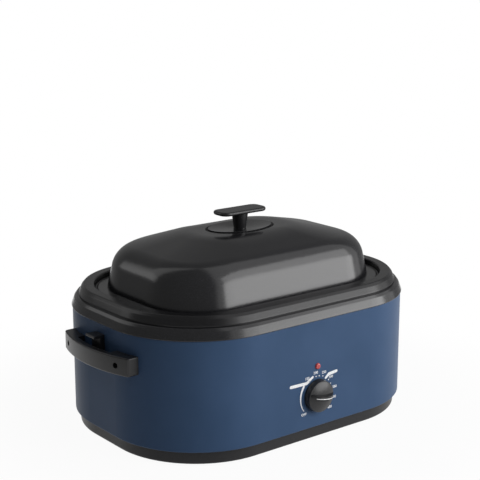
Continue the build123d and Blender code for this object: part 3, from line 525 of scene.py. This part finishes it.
# %% Red acrylic
PRISM_MM, PRISM_DEPTH_MM, GLOW_THROUGH_MM = 1.0, 0.08, 2.0
red_acrylic = new_material("moulded_red_acrylic")
here = add(red_acrylic, "ShaderNodeTexCoord").outputs["Object"]
prisms = add(red_acrylic, "ShaderNodeTexVoronoi", {"feature": "F1"}, Vector=here, Scale=per_metre(PRISM_MM))
red = add(red_acrylic, "ShaderNodeValToRGB", stops=((0.0, "#D04A48"), (1.0, "#A62A2B")), Fac=prisms)
gloss = add(red_acrylic, "ShaderNodeMapRange", Value=prisms, To_Min=0.18, To_Max=0.34)
facets = add(red_acrylic, "ShaderNodeBump", Height=prisms, Strength=0.4, Distance=PRISM_DEPTH_MM * MM)
lens = add(red_acrylic, "ShaderNodeBsdfPrincipled", Base_Color=red, Roughness=gloss, Normal=facets,
           IOR=1.49, Specular_IOR_Level=0.5, Coat_Weight=0.6, Coat_Roughness=0.08,
           Subsurface_Weight=0.15, Subsurface_Scale=GLOW_THROUGH_MM * MM)
add(red_acrylic, "ShaderNodeOutputMaterial", Surface=lens)
print("prisms:", PRISM_MM, "mm wide")

# %% [markdown]
# The dial's scale is pad printed: a silicone pad lifts white ink from an etched plate and lays
# it on the paint, a tenth of a millimetre thick. The ink is matt, thinner towards its edges,
# and the blue under it greys it slightly in places.

# %% Pad printed ink
COVER_MM, COVER_DEPTH_MM = 1.3, 0.02
white_ink = new_material("pad_printed_white_ink")
here = add(white_ink, "ShaderNodeTexCoord").outputs["Object"]
cover = add(white_ink, "ShaderNodeTexNoise", Vector=here, Scale=per_metre(COVER_MM), Detail=2.0)
ink_white = add(white_ink, "ShaderNodeValToRGB", stops=((0.30, "#E2E4E8"), (0.55, "#F8F8F8")), Fac=cover)
gloss = add(white_ink, "ShaderNodeMapRange", Value=cover, To_Min=0.45, To_Max=0.60)
film = add(white_ink, "ShaderNodeBump", Height=cover, Strength=0.3, Distance=COVER_DEPTH_MM * MM)
ink = add(white_ink, "ShaderNodeBsdfPrincipled", Base_Color=ink_white, Roughness=gloss, Normal=film,
          IOR=1.5, Specular_IOR_Level=0.3)
add(white_ink, "ShaderNodeOutputMaterial", Surface=ink)
print("patches of thin ink:", COVER_MM, "mm")

# %% [markdown]
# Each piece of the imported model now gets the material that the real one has. The model's own
# meshes stay as they are; only their material slots change.

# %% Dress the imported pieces
dressed = {
    powder_coat: ["outer_shell"],
    black_enamel: ["roasting_pan"],
    # The well's grey is lightened as painted light for its dark hollow.
    well_grey_painted_light: ["well"],
    satin_enamel: ["top_rim", "lid_shell", "lid_escutcheon"],
    phenolic: ["handle_left", "handle_right", "lid_hook_left", "lid_hook_right", "control_knob",
               "lid_handle", "lamp_holder"],
    polypropylene: ["base_tray", "cord_gland", "gland_nut"],
    nitrile_rubber: ["foot_front_left", "foot_front_right", "foot_rear_left", "foot_rear_right"],
    chromed_wire: ["rack_frame", "rack_cross_wires", "rack_handle_left", "rack_handle_right"],
    zinc_steel: ["heat_shield", "tie_bolts", "tie_nuts", "handle_screws", "handle_nuts", "lid_hook_rivets",
                 "thermostat_shaft", "knob_clip", "thermostat_nut", "heater_clamp_bolt",
                 "lid_handle_washer", "lid_handle_screw"],
    pressed_mica: ["heater_band"],
    glass_wool: ["insulation_blanket"],
    steatite: ["thermostat_body", "terminal_block"],
    drawn_copper: ["thermostat_bulb", "thermostat_capillary"],
    red_acrylic: ["indicator_lens"],
}
for material, names in dressed.items():
    for name in names:
        nodes[name].data.materials.clear()
        nodes[name].data.materials.append(material)
undressed = set(nodes) - {name for names in dressed.values() for name in names}
assert not undressed, undressed
print("materials:", len(dressed), "pieces dressed:", sum(len(names) for names in dressed.values()))

# %% [markdown]
# New pieces are small, so one function puts a mesh in the scene with its material and says which
# body carries it. A second turns what we built into a mesh. The front's measures come from the
# model: the panel that the dial sits on, and the dial's middle.

# %% Functions for new pieces
SHARP_DEGREES = 35


def new_piece(name, mesh, material, body):
    """Puts a mesh in the scene and lets it ride on a body."""
    mesh.materials.append(material)
    piece = place(name, mesh)
    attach(piece, body)
    return piece


def mesh_from(name, build):
    """A mesh from a bmesh, with its faces turned outward and only its sharp edges kept sharp."""
    bmesh.ops.recalc_face_normals(build, faces=build.faces)
    mesh = bpy.data.meshes.new(name)
    build.to_mesh(mesh)
    build.free()
    mesh.shade_smooth()
    mesh.set_sharp_from_angle(angle=radians(SHARP_DEGREES))
    return mesh


knob_low, knob_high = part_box("control_knob")
panel_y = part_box("outer_shell")[0].y
dial = Vector(((knob_low.x + knob_high.x) / 2, panel_y, (knob_low.z + knob_high.z) / 2))
print("dial middle, mm:", [round(v / MM, 1) for v in dial])

# %% [markdown]
# The print on the front is a set of flat patches. Each patch is an outline in millimetres from
# the dial's middle, x to the right and z up, that is filled and given the thickness of the ink.
# It floats three hundredths of a millimetre over the paint, so that the two don't flicker. A
# patch is a thin block between two equal outlines, and later pieces are such blocks as well.

# %% Flat patches of ink
INK_MM, FLOAT_MM = 0.10, 0.03


def add_block(build, low_outline, high_outline):
    """A closed block between two outlines with as many corners."""
    low = [build.verts.new(p) for p in low_outline]
    high = [build.verts.new(p) for p in high_outline]
    build.faces.new(low)
    build.faces.new(reversed(high))
    for i in range(len(low)):
        j = (i + 1) % len(low)
        build.faces.new((low[i], low[j], high[j], high[i]))


def on_panel(x_mm, z_mm, out_mm):
    """A point over the front panel."""
    return Vector((dial.x + x_mm * MM, panel_y - out_mm * MM, dial.z + z_mm * MM))


def add_patch(build, points):
    """One outline, filled and extruded away from the panel."""
    add_block(build, [on_panel(x, z, FLOAT_MM) for x, z in points],
              [on_panel(x, z, FLOAT_MM + INK_MM) for x, z in points])


print("ink thickness:", INK_MM, "mm")

# %% [markdown]
# Most of the print is lines with round ends: wide ones for the label bars, and one that swells
# along its way for the crescent. A function makes the outline of such a line from the points
# along it and a width at each. Where the line bends, both sides are mitred, and a limit keeps
# a sharp bend from growing a spike. Angles round the dial are read clockwise from its top, as
# on a clock, and circles are polygons.

# %% Lines, clock angles and circles
END_STEPS, MITRE_LIMIT = 8, 0.5


def round_end(point, along, across, half):
    """Half a circle round the end of a line, from one side over its tip to the other."""
    return [point + across.normalized() * half * cos(a) + along * half * sin(a)
            for a in (pi * k / END_STEPS for k in range(1, END_STEPS))]


def stroke(path, widths):
    """Outline of a line with round ends, whose width may change from point to point."""
    points = [Vector(p) for p in path]
    legs = [(b - a).normalized() for a, b in zip(points, points[1:])]
    sides = []
    for i, (point, width) in enumerate(zip(points, widths)):
        before, after = legs[max(i - 1, 0)], legs[min(i, len(legs) - 1)]
        along = (before + after).normalized()
        across = Vector((-along.y, along.x))
        mitre = across.dot(Vector((-before.y, before.x)))
        sides.append((point, along, across * (width / 2 / max(mitre, MITRE_LIMIT)), width / 2))
    outline = [point + across for point, along, across, half in sides]
    outline += round_end(*sides[-1])
    outline += [point - across for point, along, across, half in reversed(sides)]
    point, along, across, half = sides[0]
    outline += round_end(point, -along, -across, half)
    return [tuple(p) for p in outline]


def clock(radius, angle):
    """A point at an angle in degrees, clockwise from the top of the dial."""
    return radius * sin(radians(angle)), radius * cos(radians(angle))


def circle(radius, sides):
    """Points round a circle."""
    return [(radius * cos(2 * pi * k / sides), radius * sin(2 * pi * k / sides)) for k in range(sides)]


print("three o'clock, ten out:", [round(v, 3) for v in clock(10, 90)])

# %% [markdown]
# The scale has a label bar at either side above the dial, each bent once towards it. The
# crescent fills the stretch between OFF and the first number and swells towards the numbers. A
# dot stands at each number, and two more between them.

# %% Bars, crescent and dots
BAR_MM, ARM_MM = 5.0, 4.0
LEFT_BAR = [(-54.0, 24.4), (-22.0, 23.6), (-9.6, 31.4)]
RIGHT_BAR = [(17.8, 24.4), (24.4, 29.4), (40.0, 31.0)]
CRESCENT_RING_MM, CRESCENT_THICK_MM, CRESCENT_THIN_MM, CRESCENT_STEPS = 34.0, 3.9, 0.9, 28
CRESCENT_START, CRESCENT_END = -55.0, -128.0
DOT_RING_MM, DOT_RADIUS_MM, DOT_SIDES = 31.0, 1.0, 14
MARKS_AT = {"150": -33.0, "200": -5.0, "250": 22.0, "300": 50.0, "350": 81.0, "400": 107.0, "450": 134.0}
DOTS_BETWEEN = [7.4, 65.0]
scale_print = bmesh.new()
add_patch(scale_print, stroke(LEFT_BAR, [BAR_MM, BAR_MM, ARM_MM]))
add_patch(scale_print, stroke(RIGHT_BAR, [ARM_MM, BAR_MM, BAR_MM]))
turns = [k / CRESCENT_STEPS for k in range(CRESCENT_STEPS + 1)]
add_patch(scale_print, stroke(
    [clock(CRESCENT_RING_MM, CRESCENT_START + t * (CRESCENT_END - CRESCENT_START)) for t in turns],
    [CRESCENT_THICK_MM + t * (CRESCENT_THIN_MM - CRESCENT_THICK_MM) for t in turns]))
for angle in list(MARKS_AT.values()) + DOTS_BETWEEN:
    dot_x, dot_z = clock(DOT_RING_MM, angle)
    add_patch(scale_print, [(dot_x + u, dot_z + v) for u, v in circle(DOT_RADIUS_MM, DOT_SIDES)])
new_piece("dial_scale_print", mesh_from("dial_scale_print", scale_print), white_ink, "base")
print("dots:", len(MARKS_AT) + len(DOTS_BETWEEN))

# %% [markdown]
# The numbers are Blender's own letters, turned into meshes. A text object is the simplest way
# to get clean digits; as a mesh it can be scaled to its printed height and laid on the panel.

# %% Numbers
NUMBER_RING_MM, NUMBER_HEIGHT_MM, OFF_ANGLE = 37.5, 4.4, -134.7
# In the letters' own unit, in which a line of text is about 1 high.
LETTER_DEPTH, LETTER_BOLD, LETTER_STEPS = 0.02, 0.018, 4


def print_word(label, angle):
    """A word in ink, upright, with its middle at an angle of the dial."""
    words = bpy.data.curves.new(f"print_{label}", "FONT")
    words.body = label
    words.extrude, words.offset, words.resolution_u = LETTER_DEPTH, LETTER_BOLD, LETTER_STEPS
    source = place(f"print_{label}_source", words)
    digits = bpy.data.meshes.new_from_object(source)
    bpy.data.objects.remove(source)
    low, high = [[pick(v.co[axis] for v in digits.vertices) for axis in range(3)] for pick in (min, max)]
    size = NUMBER_HEIGHT_MM / (high[1] - low[1])
    middle_x, middle_z = clock(NUMBER_RING_MM, angle)
    for v in digits.vertices:
        depth = (v.co.z - low[2]) / (high[2] - low[2])
        v.co = on_panel(middle_x + (v.co.x - (low[0] + high[0]) / 2) * size,
                        middle_z + (v.co.y - (low[1] + high[1]) / 2) * size, FLOAT_MM + depth * INK_MM)
    digits.name = f"print_{label}"
    new_piece(f"print_{label}", digits, white_ink, "base")


for label, angle in list(MARKS_AT.items()) + [("OFF", OFF_ANGLE)]:
    print_word(label, angle)
print("numbers:", ", ".join(MARKS_AT), "and OFF")

# %% [markdown]
# The dial's pointer is a white line along the crest of its grip. The crest is part of a sphere,
# whose size follows from the grip's length and rise. The line is laid over that sphere as a
# thin strip: a grid of points along it and across it, each pushed out to the sphere, with a
# second layer above it for the thickness of the paint. On the very crest the paint is worn
# down, so it never stands higher than the knob itself.

# %% Pointer line: two layers of points
KNOB_TOP_MM = round((panel_y - knob_low.y) / MM, 2)
GRIP_HALF_MM, GRIP_RISE_MM = 23.8, 13.0
CREST_MM = (GRIP_HALF_MM ** 2 + GRIP_RISE_MM ** 2) / (2 * GRIP_RISE_MM)
LINE_START_MM, LINE_END_MM, LINE_MM, LINE_STEPS, LINE_LANES = -17.0, 22.6, 1.2, 52, 4
POINTER_ANGLE = 98.0
LINE_FLOAT_MM, LINE_THICK_MM, WORN_MM = 0.05, 0.10, 0.02
along_x, along_z = clock(1.0, POINTER_ANGLE)
pointer = bmesh.new()


def crest_layer(lift, limit):
    """Rows of points over the crest, lifted off it, but no further out than a limit."""
    layer = []
    for i in range(LINE_STEPS + 1):
        run = LINE_START_MM + (LINE_END_MM - LINE_START_MM) * i / LINE_STEPS
        row = []
        for j in range(LINE_LANES + 1):
            side = LINE_MM * (j / LINE_LANES - 0.5)
            height = KNOB_TOP_MM - CREST_MM + sqrt(CREST_MM ** 2 - run ** 2 - side ** 2)
            x_mm, z_mm = run * along_x - side * along_z, run * along_z + side * along_x
            row.append(pointer.verts.new(on_panel(x_mm, z_mm, min(height + lift, limit))))
        layer.append(row)
    return layer


layers = [crest_layer(LINE_FLOAT_MM, KNOB_TOP_MM - WORN_MM),
          crest_layer(LINE_FLOAT_MM + LINE_THICK_MM, KNOB_TOP_MM)]
print("crest radius:", round(CREST_MM, 2), "mm")

# %% [markdown]
# Two layers of points become a closed strip: a skin of small squares over each layer, and a
# band that joins their rims all the way round.

# %% Pointer line: skin
def rim_of(layer):
    """The points round the edge of a layer, in order."""
    far_side = [row[-1] for row in reversed(layer[:-1])]
    return [row[0] for row in layer] + layer[-1][1:] + far_side + list(reversed(layer[0][1:-1]))


for layer in layers:
    for row, following in zip(layer, layer[1:]):
        for j in range(LINE_LANES):
            pointer.faces.new((row[j], following[j], following[j + 1], row[j + 1]))
lower, upper = rim_of(layers[0]), rim_of(layers[1])
for i in range(len(lower)):
    j = (i + 1) % len(lower)
    pointer.faces.new((lower[i], lower[j], upper[j], upper[i]))
new_piece("dial_pointer_line", mesh_from("dial_pointer_line", pointer), white_ink, "knob")
print("points round the strip:", len(lower))

# %% [markdown]
# Some details follow the oven's plan, a rectangle with very round corners. One function gives
# the points round such a rectangle, and another carries a small closed section round the plan
# at an inset, as a rolling tool would. The plan's sizes come from the body's box, to the
# nearest hundredth of a millimetre; only its corner can't be read off a box. From here on
# points are worked out in millimetres, and a small function turns them into metres.

# %% Round the plan
BODY_CORNER, CORNER_STEPS = 156.0, 24
shell_low, shell_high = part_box("outer_shell")
body_half_x = round((shell_high.x - shell_low.x) / 2 / MM, 2)
body_half_y = round((shell_high.y - shell_low.y) / 2 / MM, 2)
plan_y = (shell_low.y + shell_high.y) / 2 / MM


def point_mm(x, y, z):
    """A point in the scene from its place in millimetres."""
    return Vector((x * MM, y * MM, z * MM))


def rounded_rectangle(half_x, half_y, radius, centre_y, steps):
    """Points and outward directions round a rectangle with round corners, in millimetres."""
    out = []
    for turn, (sx, sy) in enumerate(((1, -1), (1, 1), (-1, 1), (-1, -1))):
        for k in range(steps + 1):
            a = radians(90 * turn - 90 + 90 * k / steps)
            out.append((sx * (half_x - radius) + radius * cos(a),
                        centre_y + sy * (half_y - radius) + radius * sin(a), cos(a), sin(a)))
    return out


def carry(build, inset, section):
    """Carries a closed section of (outward, height) points round the plan at an inset."""
    path = rounded_rectangle(body_half_x - inset, body_half_y - inset, BODY_CORNER - inset, plan_y,
                             CORNER_STEPS)
    rings = [[build.verts.new(point_mm(x + u * nx, y + u * ny, z)) for u, z in section]
             for x, y, nx, ny in path]
    for i, ring in enumerate(rings):
        following = rings[(i + 1) % len(rings)]
        for j in range(len(section)):
            k = (j + 1) % len(section)
            build.faces.new((ring[j], following[j], following[k], ring[k]))


print("plan:", 2 * body_half_x, "x", 2 * body_half_y, "mm")

# %% [markdown]
# The lid's edge is rolled into a bead, so that it is stiff and not sharp. It looks like a round
# wire, a good two millimetres across, along the foot of the flange.

# %% Rolled bead on the lid
BEAD_RADIUS_MM, BEAD_INSIDE_EDGE_MM, BEAD_LIFT_MM, BEAD_SIDES = 1.1, 0.3, 0.05, 14
lid_low, lid_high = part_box("lid_shell")
bead_inset = round(body_half_x - lid_high.x / MM + BEAD_INSIDE_EDGE_MM, 2)
bead_middle = lid_low.z / MM + BEAD_RADIUS_MM + BEAD_LIFT_MM
bead = bmesh.new()
carry(bead, bead_inset, [(u, bead_middle + v) for u, v in circle(BEAD_RADIUS_MM, BEAD_SIDES)])
new_piece("lid_rolled_bead", mesh_from("lid_rolled_bead", bead), satin_enamel, "lid")
straights = 4 * (body_half_x + body_half_y - 2 * BODY_CORNER)
print("bead length:", round(2 * pi * (BODY_CORNER - bead_inset) + straights), "mm")

# %% [markdown]
# The body's sheet is bent round to a ring and closed at the back with a lock seam: both edges
# are folded into each other and rolled flat, which leaves a low band with a groove beside it.
# The seam is one section, seen from above, that runs straight up the back.

# %% Lock seam at the back
SEAM_X_MM, SEAM_HALF_MM, SEAM_RISE_MM = -118.0, 4.0, 0.9
SEAM_OVER_TRAY_MM, SEAM_UNDER_RIM_MM = 2.5, 3.0
SEAM_SECTION = [(-SEAM_HALF_MM, -0.2), (-SEAM_HALF_MM, 0.5), (-SEAM_HALF_MM + 0.6, SEAM_RISE_MM),
                (1.6, SEAM_RISE_MM), (2.2, 0.3), (2.8, 0.3), (3.1, 0.6), (3.7, 0.6),
                (SEAM_HALF_MM, 0.3), (SEAM_HALF_MM, -0.2)]
back_y = shell_high.y / MM
seam_low, seam_high = shell_low.z / MM + SEAM_OVER_TRAY_MM, shell_high.z / MM - SEAM_UNDER_RIM_MM
seam = bmesh.new()
add_block(seam, *[[point_mm(SEAM_X_MM + u, back_y + v, z) for u, v in SEAM_SECTION]
                  for z in (seam_low, seam_high)])
new_piece("body_lock_seam", mesh_from("body_lock_seam", seam), powder_coat, "base")
print("seam length:", round(seam_high - seam_low), "mm")

# %% [markdown]
# The rack's cross wires are resistance welded to the frame under them. Current squeezes the two
# wires together, and a small collar of melted steel wells up around each crossing, which the
# chrome covers afterwards. Each collar is a low turned shape like a lentil. The frame has the
# plan's shape at an inset, so the crossings can be worked out.

# %% Weld collars on the rack
def add_turned(build, centre, profile, sides):
    """Turns a profile of (radius, height) points, closed at both ends, about an upright axis."""
    rings = []
    for radius, height in profile:
        ring = circle(radius, sides) if radius else [(0, 0)]
        rings.append([build.verts.new(centre + point_mm(u, v, height)) for u, v in ring])
    for low, high in zip(rings, rings[1:]):
        for k in range(sides):
            n = (k + 1) % sides
            if len(low) == 1:
                build.faces.new((low[0], high[n], high[k]))
            elif len(high) == 1:
                build.faces.new((low[k], low[n], high[0]))
            else:
                build.faces.new((low[k], low[n], high[n], high[k]))


RACK_INSET_MM, CROSS_PITCH_MM, CROSS_COUNT = 88.0, 24.0, 13
COLLAR = [(0, -1.3), (1.5, -1.1), (2.5, -0.5), (2.8, 0.0), (2.5, 0.5), (1.5, 1.1), (0, 1.3)]
COLLAR_DROP_MM, COLLAR_SIDES = 0.6, 16
rack_corner = BODY_CORNER - RACK_INSET_MM
weld_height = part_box("rack_frame")[1].z / MM - COLLAR_DROP_MM
welds = bmesh.new()
for number in range(CROSS_COUNT):
    x = (number - (CROSS_COUNT - 1) / 2) * CROSS_PITCH_MM
    into_corner = max(abs(x) - (body_half_x - BODY_CORNER), 0)
    reach = body_half_y - BODY_CORNER + sqrt(rack_corner ** 2 - into_corner ** 2)
    for side in (-1, 1):
        add_turned(welds, point_mm(x, plan_y + side * reach, weld_height), COLLAR, COLLAR_SIDES)
new_piece("rack_weld_collars", mesh_from("rack_weld_collars", welds), chromed_wire, "rack")
print("welds:", 2 * CROSS_COUNT)

# %% [markdown]
# The handle screws are pan head screws with a cross recess, sunk in round wells in the handle.
# The head is turned, and the cross is cut into it with a small tapered cutter and the exact
# boolean, which keeps its edges crisp. The cutter is a block between two crosses, a small one
# at the recess's floor and a larger one just above the head.

# %% Cutting a cross recess
CROSS_FLOOR_ARM_MM, CROSS_FLOOR_HALF_MM = 1.5, 0.35
CROSS_MOUTH_ARM_MM, CROSS_MOUTH_HALF_MM = 2.5, 0.62
CROSS_DEPTH_MM, CUTTER_ABOVE_MM, SCREW_SIDES = 1.9, 0.5, 40


def cross_outline(arm, half, height):
    """Outline of a cross at a height, with arms this long and this wide on either side."""
    corner = [(arm, -half), (arm, half), (half, half)]
    points = []
    for turn in range(4):
        c, s = round(cos(turn * pi / 2)), round(sin(turn * pi / 2))
        points += [point_mm(x * c - y * s, x * s + y * c, height) for x, y in corner]
    return points


def add_cross_head_screw(build, centre, axis_frame, profile):
    """Turns a screw, cuts a cross into its head and stands it on a centre, along an axis."""
    head_top = profile[-1][1]
    blank, cutter = bmesh.new(), bmesh.new()
    add_turned(blank, Vector(), profile, SCREW_SIDES)
    add_block(cutter, cross_outline(CROSS_FLOOR_ARM_MM, CROSS_FLOOR_HALF_MM, head_top - CROSS_DEPTH_MM),
              cross_outline(CROSS_MOUTH_ARM_MM, CROSS_MOUTH_HALF_MM, head_top + CUTTER_ABOVE_MM))
    screw = place("blank", mesh_from("blank", blank))
    tool = place("cutter", mesh_from("cutter", cutter))
    cut = screw.modifiers.new("cross", "BOOLEAN")
    cut.operation, cut.solver, cut.object = "DIFFERENCE", "EXACT", tool
    result = bpy.data.meshes.new_from_object(screw.evaluated_get(bpy.context.evaluated_depsgraph_get()))
    for part in (screw, tool):
        bpy.data.objects.remove(part)
    result.transform(Matrix.Translation(centre) @ axis_frame.to_4x4())
    build.from_mesh(result)
    bpy.data.meshes.remove(result)


print("recess depth:", CROSS_DEPTH_MM, "mm")

# %% [markdown]
# Two screws hold each bow handle. Their place comes from the box of the model's plain screws,
# which these new ones replace. They were driven home by hand, so the crosses don't line up.

# %% Cross recess screws
HEAD_RADIUS_MM, HEAD_RISE_MM, SHANK_RADIUS_MM, SHANK_END_MM = 4.4, 2.5, 2.5, 258.0
LEAD_MM, LEAD_LENGTH_MM = 0.6, 0.8
PAN_HEAD = [(HEAD_RADIUS_MM, 0.0), (HEAD_RADIUS_MM, 0.9), (HEAD_RADIUS_MM - 0.5, 1.7),
            (HEAD_RADIUS_MM - 1.5, 2.25), (HEAD_RADIUS_MM - 2.9, HEAD_RISE_MM), (0, HEAD_RISE_MM)]
TWIST_FRONT, TWIST_REAR = 0.4, 1.1
screw_low, screw_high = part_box("handle_screws")
screw_height = (screw_low.z + screw_high.z) / 2 / MM
head_seat = round(screw_high.x / MM - HEAD_RISE_MM, 2)
screw_y = round((screw_high.y - screw_low.y) / 2 / MM - HEAD_RADIUS_MM, 2)
screw_profile = [(0, SHANK_END_MM), (SHANK_RADIUS_MM - LEAD_MM, SHANK_END_MM),
                 (SHANK_RADIUS_MM, SHANK_END_MM + LEAD_LENGTH_MM), (SHANK_RADIUS_MM, head_seat)]
screw_profile += [(radius, head_seat + rise) for radius, rise in PAN_HEAD]
screws = bmesh.new()
for side in (-1, 1):
    for y, twist in ((-screw_y, TWIST_FRONT), (screw_y, TWIST_REAR)):
        outward = Vector((side, 0, 0)).to_track_quat("Z", "Y").to_matrix()
        add_cross_head_screw(screws, point_mm(0, plan_y + y, screw_height),
                             outward @ Matrix.Rotation(twist, 3, "Z"), screw_profile)
handle_screw_piece = new_piece("cross_recess_screws", mesh_from("cross_recess_screws", screws), zinc_steel,
                               "base")
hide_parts("handle_screws")
print("screws", 2 * screw_y, "mm apart, faces:", len(handle_screw_piece.data.polygons))

# %% [markdown]
# An appliance has a rating plate under its floor. This one is left blank: a foil of aluminium
# whose surface is brushed in one direction. The marks run along it, so the pattern is
# stretched along x. Real ones are much finer than the 0.8 mm that they are drawn at.

# %% Brushed aluminium foil
BRUSH_MM, BRUSH_STRETCH, BRUSH_DEPTH_MM = 0.8, 40.0, 0.01
brushed_aluminium = new_material("brushed_aluminium")
here = add(brushed_aluminium, "ShaderNodeTexCoord").outputs["Object"]
lengthwise = add(brushed_aluminium, "ShaderNodeMapping", Vector=here, Scale=(1.0 / BRUSH_STRETCH, 1.0, 1.0))
brush = add(brushed_aluminium, "ShaderNodeTexNoise", Vector=lengthwise, Scale=per_metre(BRUSH_MM), Detail=4.0)
sheen = add(brushed_aluminium, "ShaderNodeValToRGB", stops=((0.3, "#B4B6B8"), (0.7, "#D6D7D8")), Fac=brush)
gloss = add(brushed_aluminium, "ShaderNodeMapRange", Value=brush, To_Min=0.28, To_Max=0.46)
lines = add(brushed_aluminium, "ShaderNodeBump", Height=brush, Strength=0.4, Distance=BRUSH_DEPTH_MM * MM)
aluminium = add(brushed_aluminium, "ShaderNodeBsdfPrincipled", Base_Color=sheen, Roughness=gloss,
                Normal=lines, Metallic=1.0)
add(brushed_aluminium, "ShaderNodeOutputMaterial", Surface=aluminium)
print("brush marks:", BRUSH_MM, "mm wide,", BRUSH_MM * BRUSH_STRETCH, "mm long")

# %% [markdown]
# The plate is a small rectangle with round corners, glued under the tray, in the middle and
# towards the front. It is one more block between two outlines, thinner than a fingernail.

# %% Blank foil plate
FOIL_HALF_X_MM, FOIL_HALF_Y_MM, FOIL_CORNER_MM, FOIL_CORNER_STEPS = 36.0, 18.0, 4.0, 6
FOIL_MM, GLUE_MM, FOIL_FORWARD_MM = 0.15, 0.02, 72.0
tray_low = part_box("base_tray")[0].z / MM
foil_outline = rounded_rectangle(FOIL_HALF_X_MM, FOIL_HALF_Y_MM, FOIL_CORNER_MM, plan_y - FOIL_FORWARD_MM,
                                 FOIL_CORNER_STEPS)
foil_plate = bmesh.new()
add_block(foil_plate, *[[point_mm(x, y, z) for x, y, nx, ny in foil_outline]
                        for z in (tray_low - FOIL_MM, tray_low - GLUE_MM)])
new_piece("blank_foil_plate", mesh_from("blank_foil_plate", foil_plate), brushed_aluminium,
          "base")
print("foil plate:", 2 * FOIL_HALF_X_MM, "x", 2 * FOIL_HALF_Y_MM, "mm")
